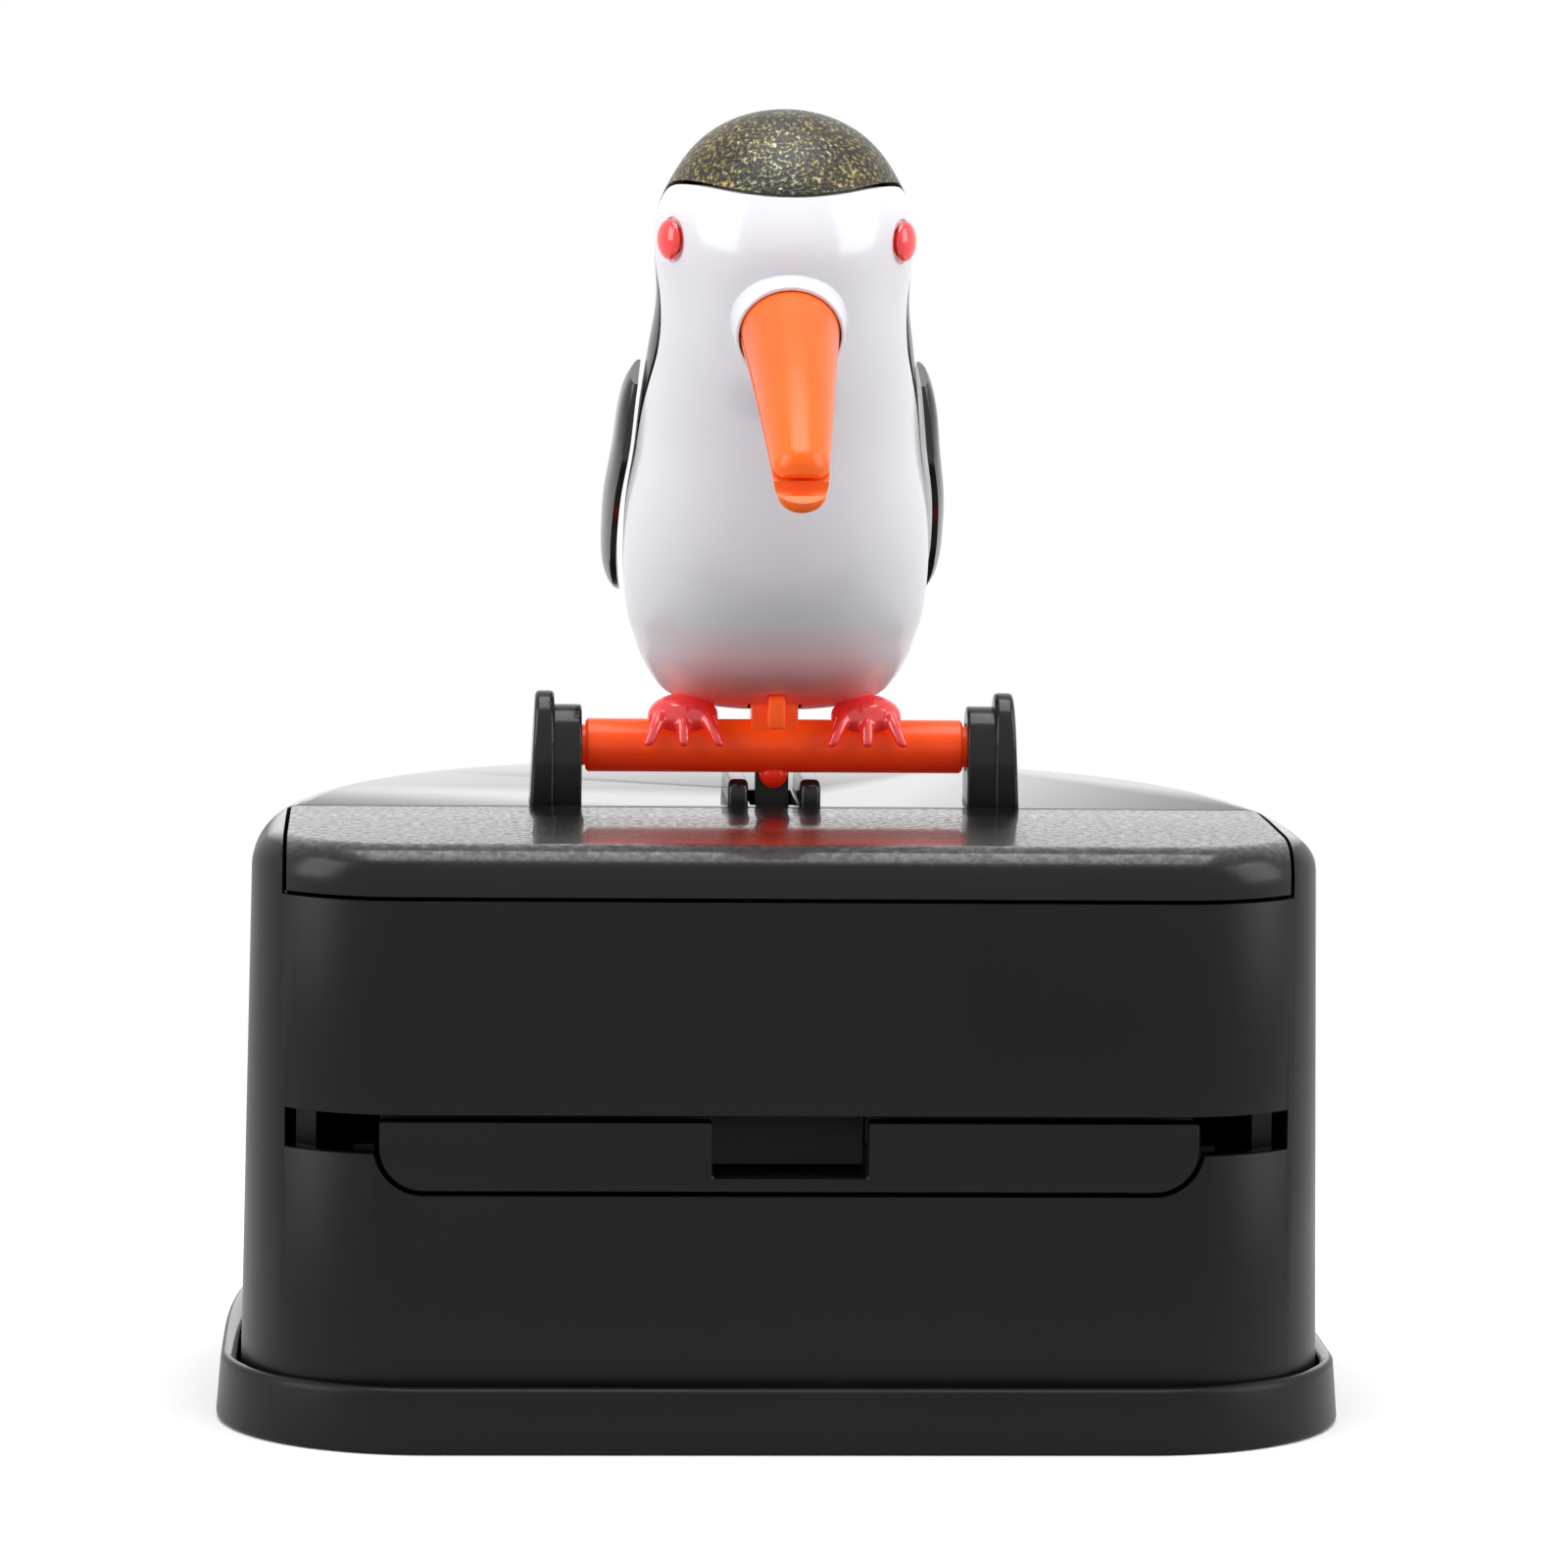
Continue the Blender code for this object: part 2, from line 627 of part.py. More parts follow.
def add_screw_bosses(housing, foot):
    """A boss over each screw, with a web to the wall beside it or behind it."""
    top = foot + SCREW_LENGTH + SCREW_BOSS_CROWN
    web_low, web_high = foot + GAP * 2, top - GAP
    half_web = HOUSING_WALL / 2
    for number, (x, y) in enumerate(screw_places(), 1):
        join(housing, f"screw_boss_{number}", rod(SCREW_BOSS_RADIUS, (x, y, foot + GAP), (x, y, top), 20))
        if y < 0:
            web_x = sorted((x, math.copysign(BODY_HALF_WIDTH - half_web, x)))
            web = box((web_x[0], y - half_web, web_low), (web_x[1], y + half_web, web_high))
        else:
            rear = rear_wall_y(x, top) - HOUSING_WALL / 3
            web = box((x - half_web, y, web_low), (x + half_web, rear, web_high))
        join(housing, f"screw_web_{number}", web)
        pilot = rod(SCREW_RADIUS + GAP / 2, (x, y, foot - OVERRUN), (x, y, foot + SCREW_LENGTH), 16)
        cut(housing, f"screw_pilot_{number}", pilot)


def add_rocker_lugs(housing, ceiling):
    """Two lugs under the top wall that hold the rocker's pin, and the window that its tongue rises through."""
    for name, side in (("left", -1), ("right", 1)):
        inner = side * (ROCKER_HALF_WIDTH + RUNNING_GAP * 2)
        outer = inner + side * LUG_THICKNESS
        outline = arc((PIVOT_Y, PIVOT_Z), LUG_RADIUS, 180, 360, 8)
        outline += [(PIVOT_Y + LUG_RADIUS, ceiling + TOP_WALL / 2), (PIVOT_Y - LUG_RADIUS, ceiling + TOP_WALL / 2)]
        join(housing, f"rocker_lug_{name}", side_prism(outline, min(inner, outer), max(inner, outer)))
    reach = PIN_HALF_LENGTH + OVERRUN
    cut(housing, "rocker_pin_bore", rod(PIN_RADIUS + GAP, (-reach, PIVOT_Y, PIVOT_Z), (reach, PIVOT_Y, PIVOT_Z)))
    half = RIB_INNER - GAP / 2
    cut(housing, "tongue_window", box(
        (-half, AXIS_Y - WINDOW_AHEAD, ceiling - GAP), (half, AXIS_Y + WINDOW_BEHIND, HOUSING_TOP + OVERRUN)))


def add_guide_ribs(housing):
    """Low ribs on both sides of the window, rounded where they drop at the rear."""
    top = HOUSING_TOP + RIB_HEIGHT
    low = HOUSING_TOP - TOP_WALL / 2
    front, rear = AXIS_Y - RIB_AHEAD, AXIS_Y + RIB_BEHIND
    outline = [(front, low), (rear, low), (rear, HOUSING_TOP + RIB_HEIGHT / 3)]
    outline += arc((rear - RIB_HEIGHT, top - RIB_HEIGHT), RIB_HEIGHT, 20, 90, 4)
    outline += [(front + RIB_HEIGHT / 3, top), (front, top - RIB_HEIGHT / 3)]
    for name, side in (("left", -1), ("right", 1)):
        reach = sorted((side * RIB_INNER, side * (RIB_INNER + RIB_THICKNESS)))
        join(housing, f"guide_rib_{name}", side_prism(outline, *reach))


def arch(radius, half_depth, low):
    """A post's side outline: a rounded head over the bar's axis with straight legs."""
    head = [
        (AXIS_Y + (y - AXIS_Y) * half_depth / radius, z) for y, z in arc((AXIS_Y, AXIS_Z), radius, 0, 180, 12)]
    return [(AXIS_Y - half_depth, low), (AXIS_Y + half_depth, low)] + head


def add_posts(housing):
    low = HOUSING_TOP - TOP_WALL / 2
    for name, side in (("left", -1), ("right", 1)):
        inner = side * (POST_GAP_HALF + GAP)
        middle = inner + side * BOSS_WIDTH
        outer = middle + side * FLANGE_WIDTH
        boss = side_prism(arch(BOSS_RADIUS, BOSS_HALF_DEPTH, low), *sorted((inner, middle + side * FUSE)))
        join(housing, f"post_boss_{name}", boss)
        edge = FLANGE_WIDTH / 3
        rings = []
        for x, shrink, flare in (
                (middle, 0.0, 0.0), (outer - side * edge, 0.0, POST_FLARE), (outer, edge, POST_FLARE)):
            ring = []
            for y, z in arch(FLANGE_RADIUS - shrink, FLANGE_HALF_DEPTH - shrink, low):
                drop = (AXIS_Z + FLANGE_RADIUS - z) / (AXIS_Z + FLANGE_RADIUS - low)
                ring.append((x + side * flare * max(drop, 0), y, z))
            rings.append(ring)
        join(housing, f"post_flange_{name}", loft(rings))
    reach = BAR_HALF_LENGTH + GAP
    bore = rod(JOURNAL_RADIUS + GAP, (-reach, AXIS_Y, AXIS_Z), (reach, AXIS_Y, AXIS_Z), 24)
    cut(housing, "journal_bore", bore)


def make_lid():
    """The lid is the housing's own outline between its side seams, hollowed to a panel and a front lip."""
    lid = add_piece("lid", housing_envelope(HOUSING_TOP - LID_LIP), "lid_black")
    far = BASE_HALF_DEPTH + OVERRUN
    for name, side in (("left", -1), ("right", 1)):
        reach = sorted((side * LID_HALF_WIDTH, side * (BASE_HALF_WIDTH + OVERRUN)))
        cut(lid, f"lid_side_{name}", box(
            (reach[0], -far, HOUSING_TOP - LID_LIP - OVERRUN), (reach[1], far, HOUSING_TOP + OVERRUN)))
    cut(lid, "lid_rear", box(
        (-BASE_HALF_WIDTH - OVERRUN, LID_REAR_Y, HOUSING_TOP - LID_LIP - OVERRUN),
        (BASE_HALF_WIDTH + OVERRUN, far, HOUSING_TOP + OVERRUN)))
    under = HOUSING_TOP - LID_THICKNESS
    inside = [housing_plan(z, HOUSING_WALL) for z in (HOUSING_TOP - LID_LIP - OVERRUN, under)]
    cut(lid, "lid_inside", loft(inside))
    hook_end = LID_REAR_Y + LID_TRAVEL - GAP
    for name, side in (("left", -1), ("right", 1)):
        place = side * HOOK_SPACING
        foot = HOUSING_TOP - TOP_WALL - GAP - HOOK_THICKNESS
        bend = LID_REAR_Y - HOOK_THICKNESS
        outline = [
            (bend - HOOK_THICKNESS, under + LID_THICKNESS / 2), (bend - HOOK_THICKNESS, foot),
            (hook_end, foot), (hook_end, foot + HOOK_THICKNESS),
            (bend, foot + HOOK_THICKNESS), (bend, under + LID_THICKNESS / 2)]
        join(lid, f"lid_hook_{name}", side_prism(outline, place - HOOK_WIDTH / 2, place + HOOK_WIDTH / 2))
    return lid


def make_drawer():
    """Notched slide with a groove for one pick behind its lip, and a socket for the rocker's arm."""
    right = arc((DRAWER_HALF_WIDTH - DRAWER_ROUND, DRAWER_BOTTOM + DRAWER_ROUND), DRAWER_ROUND, -90, 0, 5)
    outline = right + [(DRAWER_HALF_WIDTH, DRAWER_TOP)]
    outline += [(-x, z) for x, z in reversed(outline)]
    drawer = add_piece("drawer", front_prism(outline, FRONT_Y, DRAWER_REAR), "black")
    deck_under = DRAWER_TOP - DRAWER_DECK
    groove_rear = GROOVE_FRONT_Y + GROOVE_WIDTH
    rear_wall = DRAWER_REAR - HOUSING_WALL
    half = DRAWER_HALF_WIDTH - DRAWER_WALL
    hollow_front = max(groove_rear, FRONT_Y + NOTCH_LENGTH) + SOCKET_WALL
    cut(drawer, "drawer_underside", box(
        (-half, hollow_front, DRAWER_BOTTOM - OVERRUN), (half, rear_wall, deck_under)))
    cut(drawer, "pick_groove", box(
        (-DRAWER_HALF_WIDTH - OVERRUN, GROOVE_FRONT_Y, DRAWER_TOP - PICK_DIAMETER),
        (DRAWER_HALF_WIDTH + OVERRUN, groove_rear, DRAWER_TOP + OVERRUN)))
    cut(drawer, "beak_notch", box(
        (-NOTCH_HALF_WIDTH, FRONT_Y - OVERRUN, DRAWER_TOP - NOTCH_DEPTH),
        (NOTCH_HALF_WIDTH, FRONT_Y + NOTCH_LENGTH, DRAWER_TOP + OVERRUN)))
    swing = math.radians(ROCKER_ANGLE)
    arm_lean = (DRAWER_TOP - ARM_END_Z) * math.tan(swing) + ARM_HALF_THICKNESS / math.cos(swing)
    reach = max(ARM_END_RADIUS, arm_lean) + RUNNING_GAP
    side = ROCKER_HALF_WIDTH + RUNNING_GAP
    join(drawer, "arm_socket", box(
        (-side - SOCKET_WALL, PIVOT_Y - reach - SOCKET_WALL, DRAWER_BOTTOM + GAP),
        (side + SOCKET_WALL, rear_wall + FUSE, deck_under + FUSE)))
    cut(drawer, "arm_socket_hole", box(
        (-side, PIVOT_Y - reach, DRAWER_BOTTOM - OVERRUN), (side, PIVOT_Y + reach, DRAWER_TOP + OVERRUN)))
    return drawer


def make_feed_bed():
    """Table under the drawer, with rails beside it, legs on the base and a stop for each spring."""
    front = INNER_FRONT_Y + GAP
    under = BED_TOP - BED_THICKNESS
    corner = HOUSING_CORNER - HOUSING_WALL
    outline = [(BED_HALF_WIDTH - corner, front), (BED_HALF_WIDTH, front + corner), (BED_HALF_WIDTH, BED_REAR)]
    outline += [(-x, y) for x, y in reversed(outline)]
    bed = add_piece("feed_bed", loft([[(x, y, z) for x, y in outline] for z in (under, BED_TOP)]), "inner_grey")
    length = BED_REAR - front
    rail_inner = DRAWER_HALF_WIDTH + RUNNING_GAP
    for name, side in (("left", -1), ("right", 1)):
        rail = sorted((side * rail_inner, side * (rail_inner + RAIL_THICKNESS)))
        join(bed, f"bed_rail_{name}", box(
            (rail[0], front + corner / 2, BED_TOP - BED_THICKNESS / 2),
            (rail[1], BED_REAR - FUSE, BED_TOP + RAIL_RISE)))
        leg = sorted((side * (rail_inner - LEG_THICKNESS), side * rail_inner))
        join(bed, f"bed_leg_{name}", box(
            (leg[0], front + length * LEG_SPAN_SHARES[0], BASE_FLOOR + GAP),
            (leg[1], front + length * LEG_SPAN_SHARES[1], BED_TOP - BED_THICKNESS / 2)))
        centre = side * STOP_OFFSET
        join(bed, f"spring_stop_{name}", box(
            (centre - STOP_WIDTH / 2, STOP_PLACE, BED_TOP - BED_THICKNESS / 2),
            (centre + STOP_WIDTH / 2, STOP_PLACE + STOP_THICKNESS, DRAWER_TOP - DRAWER_DECK - RUNNING_GAP)))
    return bed


def make_hopper():
    """Sloped magazine wall between two cheeks that stand on the feed bed."""
    lip_y = INNER_FRONT_Y + HOPPER_THROAT
    lip_z = DRAWER_TOP + GAP
    slope = Vector((HOPPER_REAR - lip_y, HOPPER_TOP - lip_z)).normalized()
    step = HOPPER_WALL / slope.y
    outline = [(lip_y, lip_z), (lip_y + step, lip_z), (HOPPER_REAR + step, HOPPER_TOP), (HOPPER_REAR, HOPPER_TOP)]
    cheek_inner = PICK_LENGTH / 2 + GAP * 2
    wall_half = cheek_inner + HOPPER_WALL / 2
    hopper = add_piece("hopper", side_prism(outline, -wall_half, wall_half), "inner_grey")
    foot = BED_TOP + GAP
    front = INNER_FRONT_Y + HOUSING_CORNER / 2
    notch = INNER_FRONT_Y + CHEEK_FOOT
    cheek = [
        (front, SLOT_TOP + GAP), (notch, SLOT_TOP + GAP), (notch, foot), (HOPPER_REAR, foot),
        (HOPPER_REAR + step, HOPPER_TOP), (front, HOPPER_TOP - RAIL_HEIGHT)]
    for name, side in (("left", -1), ("right", 1)):
        reach = sorted((side * cheek_inner, side * (cheek_inner + HOPPER_WALL)))
        join(hopper, f"hopper_cheek_{name}", side_prism(cheek, *reach))
    return hopper


def make_springs():
    """Compression springs between the bed's stops and the drawer's rear wall."""
    start = STOP_PLACE + STOP_THICKNESS + GAP + SPRING_WIRE / 2
    end = DRAWER_REAR - HOUSING_WALL - GAP - SPRING_WIRE / 2
    radius = (SPRING_DIAMETER - SPRING_WIRE) / 2
    height = BED_TOP + RUNNING_GAP + SPRING_DIAMETER / 2
    pitch = (end - start) / SPRING_COILS
    print(f"return spring: least gap between turns {(pitch - SPRING_WIRE) * 1000:.2f} mm")
    for name, side in (("left", -1), ("right", 1)):
        curve = bpy.data.curves.new(f"return_spring_{name}", "CURVE")
        curve.dimensions = "3D"
        curve.bevel_depth = SPRING_WIRE / 2
        curve.bevel_resolution = 1
        curve.use_fill_caps = True
        count = SPRING_COILS * SPRING_POINTS_PER_COIL
        spline = curve.splines.new("POLY")
        spline.points.add(count)
        for index in range(count + 1):
            angle = 2 * math.pi * index / SPRING_POINTS_PER_COIL
            y = (end - start) * index / count
            spline.points[index].co = (radius * math.cos(angle), y, radius * math.sin(angle), 1)
        curve.materials.append(material("steel"))
        spring = bpy.data.objects.new(f"return_spring_{name}", curve)
        spring.location = (side * STOP_OFFSET, start, height)
        part_collection.objects.link(spring)


def make_rocker():
    """Lever with a tongue above its pin and a round-ended arm below it."""
    pivot = (0.0, PIVOT_Y, PIVOT_Z)
    tongue_top = AXIS_Z - TONGUE_DROP - TONGUE_HALF_THICKNESS
    tongue_turn = math.degrees(math.asin(TONGUE_HALF_THICKNESS / ROCKER_HUB))
    arm_turn = math.degrees(math.asin(ARM_HALF_THICKNESS / ROCKER_HUB))
    end_turn = math.degrees(math.asin(ARM_HALF_THICKNESS / ARM_END_RADIUS))
    outline = arc((PIVOT_Y, tongue_top), TONGUE_HALF_THICKNESS, 0, 180, 6)
    outline += arc((PIVOT_Y, PIVOT_Z), ROCKER_HUB, 90 + tongue_turn, 270 - arm_turn, 8)
    outline += arc((PIVOT_Y, ARM_END_Z), ARM_END_RADIUS, 90 + end_turn, 450 - end_turn, 14)
    outline += arc((PIVOT_Y, PIVOT_Z), ROCKER_HUB, 270 + arm_turn, 450 - tongue_turn, 8)
    rocker = add_piece("rocker", side_prism(outline, -ROCKER_HALF_WIDTH, ROCKER_HALF_WIDTH), "inner_grey", pivot)
    reach = ROCKER_HALF_WIDTH + OVERRUN
    cut(rocker, "rocker_bore", rod(PIN_RADIUS + GAP, (-reach, PIVOT_Y, PIVOT_Z), (reach, PIVOT_Y, PIVOT_Z)))
    pin = rod(PIN_RADIUS, (-PIN_HALF_LENGTH, PIVOT_Y, PIVOT_Z), (PIN_HALF_LENGTH, PIVOT_Y, PIVOT_Z), 20)
    add_piece("rocker_pin", pin, "steel", pivot)
    return rocker


def make_perch_bar():
    """Turned bar with its nub, its front peg and the stem that carries the bird."""
    pivot = (0.0, AXIS_Y, AXIS_Z)
    shoulder = POST_GAP_HALF
    edge = JOURNAL_RADIUS / 6
    profile = [
        (0.0, BAR_HALF_LENGTH), (JOURNAL_RADIUS - edge, BAR_HALF_LENGTH), (JOURNAL_RADIUS, BAR_HALF_LENGTH - edge),
        (JOURNAL_RADIUS, shoulder), (BAR_RADIUS, shoulder)]
    profile += [(radius, -along) for radius, along in reversed(profile)]
    bar = turned("perch_bar", profile, "bar_orange", pivot, (1, 0, 0), 28)
    nub_centre = AXIS_Z - NUB_REACH + NUB_RADIUS
    nub = bmesh.new()
    bmesh.ops.create_uvsphere(
        nub, u_segments=16, v_segments=10, radius=NUB_RADIUS, matrix=Matrix.Translation((0.0, AXIS_Y, nub_centre)))
    join(bar, "nub", nub)
    peg_y = AXIS_Y - PEG_FORWARD
    peg_top = AXIS_Z + PEG_HEIGHT
    arm_low = AXIS_Z + BAR_RADIUS - PEG_THICKNESS / 4
    arm_high = arm_low + PEG_THICKNESS
    outline = [(AXIS_Y, arm_low), (peg_y, arm_low), (peg_y, peg_top - PEG_THICKNESS / 2)]
    outline += arc((peg_y + PEG_THICKNESS / 2, peg_top - PEG_THICKNESS / 2), PEG_THICKNESS / 2, 180, 0, 5)[1:]
    outline += [(peg_y + PEG_THICKNESS, arm_high), (AXIS_Y, arm_high)]
    join(bar, "front_peg", side_prism(outline, -PEG_HALF_WIDTH, PEG_HALF_WIDTH))
    join(bar, "stem", box(
        (-STEM_HALF_WIDTH, AXIS_Y - STEM_HALF_DEPTH, AXIS_Z),
        (STEM_HALF_WIDTH, AXIS_Y + STEM_HALF_DEPTH, AXIS_Z + STEM_HEIGHT)))
    return bar


# Bird

def bird_section(height_share, inset=0.0):
    """Half width, half depth and centre of the bird's level section."""
    fullness = 2 * math.sqrt(max(height_share * (1 - height_share), 0.0))
    half_width = BIRD_HALF_WIDTH * fullness * between(WIDTH_SHARES, height_share) - inset
    half_depth = BIRD_HALF_DEPTH * fullness * between(DEPTH_SHARES, height_share) - inset
    centre = AXIS_Y - BIRD_LEAN * between(LEAN_SHARES, height_share)
    return half_width, half_depth, centre


def height_share_of(z):
    return (z - BIRD_BOTTOM) / BIRD_HEIGHT


def bird_envelope(inset=0.0):
    rings = []
    for level in range(1, BIRD_LEVELS):
        share = (1 - math.cos(math.pi * level / BIRD_LEVELS)) / 2
        half_width, half_depth, centre = bird_section(share, inset)
        if half_width < BIRD_WALL:
            continue
        z = BIRD_BOTTOM + inset + (BIRD_HEIGHT - 2 * inset) * share
        ring = []
        for side in range(BIRD_SIDES):
            angle = 2 * math.pi * side / BIRD_SIDES
            ring.append((half_width * math.cos(angle), centre + half_depth * math.sin(angle), z))
        rings.append(ring)
    return loft(rings)


def parting_line(shift):
    """The seam from below the breast up the side and over the forehead, moved by half the gap."""
    points = []
    for height_share, depth_share in reversed(PARTING_SHARES):
        z = BIRD_BOTTOM + BIRD_HEIGHT * height_share + shift
        centre = AXIS_Y - BIRD_LEAN * between(LEAN_SHARES, min(max(height_share, 0), 1))
        points.append((centre + BIRD_HALF_DEPTH * depth_share + shift, z))
    return points


def rear_region(shift):
    """Everything behind and above the seam."""
    line = parting_line(shift)
    far_y = AXIS_Y + TAIL_REACH * 2
    top = BIRD_BOTTOM + BIRD_HEIGHT + OVERRUN
    outline = line + [(line[-1][0], top), (far_y, top), (far_y, line[0][1])]
    reach = BIRD_HALF_WIDTH + OVERRUN
    return side_prism(outline, -reach, reach)


def front_region(shift):
    """Everything before and below the seam."""
    line = parting_line(shift)
    far_y = AXIS_Y - TAIL_REACH * 2
    outline = line + [(far_y, line[-1][1]), (far_y, line[0][1])]
    reach = BIRD_HALF_WIDTH + OVERRUN
    return side_prism(outline, -reach, reach)


def beak_point(share):
    """Centre line of the beak, slightly arched."""
    _, face_depth, centre = bird_section(BEAK_HEIGHT_SHARE)
    y = centre - face_depth + BEAK_SINK - BEAK_REACH * share
    z = BEAK_ROOT_Z - BEAK_DROP * share + BEAK_SAG * math.sin(math.pi * share)
    return Vector((0.0, y, z))


def beak_radius(share):
    return BEAK_ROOT_RADIUS + (BEAK_TIP_RADIUS - BEAK_ROOT_RADIUS) * share


def make_bird_shells():
    pivot = (0.0, AXIS_Y, AXIS_Z)
    front = add_piece("bird_front_shell", bird_envelope(), "white", pivot)
    root, shoulder = beak_point(COLLAR_LENGTH_SHARES[0]), beak_point(COLLAR_LENGTH_SHARES[1])
    collar = rod(BEAK_ROOT_RADIUS + COLLAR_WIDTH * 2, root, shoulder, 28, BEAK_ROOT_RADIUS + COLLAR_WIDTH)
    join(front, "beak_collar", collar)
    cut(front, "front_hollow", bird_envelope(BIRD_WALL))
    cut(front, "front_cut", rear_region(-PARTING_GAP / 2))
    hole = rod(BEAK_ROOT_RADIUS + GAP, beak_point(BEAK_HOLE_SHARE), beak_point(UPPER_LENGTH_SHARE), 28)
    cut(front, "beak_hole", hole)
    cut_eye_holes(front)
    cut_stem_hole(front)

    back = add_piece("bird_back_shell", bird_envelope(), "black", pivot)
    join(back, "tail", tail_body())
    cut(back, "back_hollow", bird_envelope(BIRD_WALL))
    cut(back, "back_cut", front_region(PARTING_GAP / 2))
    cut_stem_hole(back)
    return front, back


def cut_stem_hole(shell):
    cut(shell, f"{shell.name}_stem_hole", box(
        (-STEM_HALF_WIDTH - GAP, AXIS_Y - STEM_HALF_DEPTH - GAP, AXIS_Z),
        (STEM_HALF_WIDTH + GAP, AXIS_Y + STEM_HALF_DEPTH + GAP, AXIS_Z + STEM_HEIGHT / 2)))


def tail_body():
    """Flat tail that leaves the back and slopes down to a narrower tip."""
    share = height_share_of(TAIL_ROOT_Z)
    _, depth, centre = bird_section(share)
    root = Vector((0.0, centre + depth - BIRD_WALL * 2, TAIL_ROOT_Z))
    tip = Vector((0.0, AXIS_Y + TAIL_REACH, TAIL_TIP_Z))
    across = Vector((1, 0, 0))
    up = across.cross(tip - root).normalized()
    rings = []
    for part, width_share, thickness_share in TAIL_SHARES:
        half = TAIL_HALF_WIDTH * width_share
        thick = TAIL_THICKNESS / 2 * thickness_share
        ring = []
        for index in range(TAIL_SIDES):
            angle = 2 * math.pi * index / TAIL_SIDES
            rounded = across * half * math.cos(angle) + up * thick * math.sin(angle)
            ring.append(root.lerp(tip, part) + rounded)
        rings.append(ring)
    return loft(rings)


def eye_place(side):
    """A point on the side of the head, and the way that it looks."""
    half_width, half_depth, centre = bird_section(height_share_of(EYE_Z))
    y = centre - half_depth * EYE_FORWARD_SHARE
    x = half_width * math.sqrt(1 - EYE_FORWARD_SHARE ** 2)
    normal = Vector((side * x / half_width ** 2, (y - centre) / half_depth ** 2, 0.0)).normalized()
    return Vector((side * x, y, EYE_Z)), normal


def cut_eye_holes(shell):
    for name, side in (("left", -1), ("right", 1)):
        place, normal = eye_place(side)
        deep = EYE_STEM_LENGTH + OVERRUN
        cut(shell, f"eye_hole_{name}", rod(
            EYE_STEM_RADIUS + GAP, place - normal * deep, place + normal * OVERRUN, 16))
        cut(shell, f"eye_seat_{name}", rod(
            EYE_RADIUS + GAP, place - normal * GAP, place + normal * OVERRUN, 24))


def make_eyes():
    """Domes on a stem, turned from one profile."""
    for name, side in (("left", -1), ("right", 1)):
        place, normal = eye_place(side)
        profile = [(0.0, EYE_BULGE)]
        for index in range(1, 6):
            angle = math.pi / 2 * index / 5
            profile.append((EYE_RADIUS * math.sin(angle), EYE_BULGE * math.cos(angle)))
        profile += [(EYE_STEM_RADIUS, 0.0), (EYE_STEM_RADIUS, -EYE_STEM_LENGTH), (0.0, -EYE_STEM_LENGTH)]
        eye = turned(f"eye_{name}", profile, "red", place + normal * GAP / 3 - bird_axis.location, normal, 20)
        eye.parent = bird_axis


def mandible(upper):
    """Half of the beak, drawn out along its centre line with a rounded end."""
    end_share = UPPER_LENGTH_SHARE if upper else 1.0
    sign = 1 if upper else -1
    rings = []
    for part, fullness in MANDIBLE_SHARES:
        share = end_share * part
        ahead = beak_point(share + BEAK_TANGENT_SHARE) - beak_point(share - BEAK_TANGENT_SHARE)
        across = Vector((1, 0, 0))
        up = ahead.cross(across).normalized()
        radius = beak_radius(share)
        ring = []
        for index in range(BEAK_SIDES + 1):
            angle = math.pi * index / BEAK_SIDES
            x = radius * math.cos(angle) * fullness
            rise = BEAK_SLIT / 2 + (radius - BEAK_SLIT / 2) * math.sin(angle) * fullness
            ring.append(beak_point(share) + across * x + up * sign * rise)
        rings.append(ring)
    return loft(rings)


def make_beak():
    pivot = (0.0, AXIS_Y, AXIS_Z)
    upper = add_piece("beak_upper", mandible(True), "beak_orange", pivot)
    lower = add_piece("beak_lower", mandible(False), "beak_orange", pivot)
    seat = beak_point(PICK_SEAT_SHARE)
    reach = BEAK_ROOT_RADIUS + OVERRUN
    for piece in (upper, lower):
        cut(piece, f"{piece.name}_pick_seat", rod(
            PICK_DIAMETER * PICK_GRIP_SHARE, seat - Vector((reach, 0, 0)), seat + Vector((reach, 0, 0)), 16))
    return upper, lower


def make_wings():
    """Leaf-shaped plates that follow the body's sides and flare at the tip."""
    slope = math.radians(WING_SLOPE)
    along = Vector((0.0, math.cos(slope), -math.sin(slope)))
    across = Vector((0.0, math.sin(slope), math.cos(slope)))
    for name, side in (("left", -1), ("right", 1)):
        rings = []
        for step in range(WING_STEPS + 1):
            part = step / WING_STEPS
            leaf = between(WING_SHARES, part)
            inner, outer = [], []
            for lane in range(WING_LANES + 1):
                offset = -1 + 2 * lane / WING_LANES
                point = Vector((0.0, WING_TOP_Y, WING_TOP_Z)) + along * WING_LENGTH * part
                point += across * WING_HALF_WIDTH * leaf * offset
                half_width, half_depth, centre = bird_section(height_share_of(point.z))
                behind = min(((point.y - centre) / half_depth) ** 2, WING_WRAP_LIMIT_SHARE)
                x = half_width * (1 - WING_WRAP_SHARE * behind) + GAP + WING_FLARE * part ** 2
                thick = WING_THICKNESS * (1 - WING_EDGE_SHARE * offset ** 2)
                inner.append((side * x, point.y, point.z))
                outer.append((side * (x + thick), point.y, point.z))
            rings.append(inner + outer[::-1])
        add_piece(f"wing_{name}", loft(rings), "wing_black", (0.0, AXIS_Y, AXIS_Z))


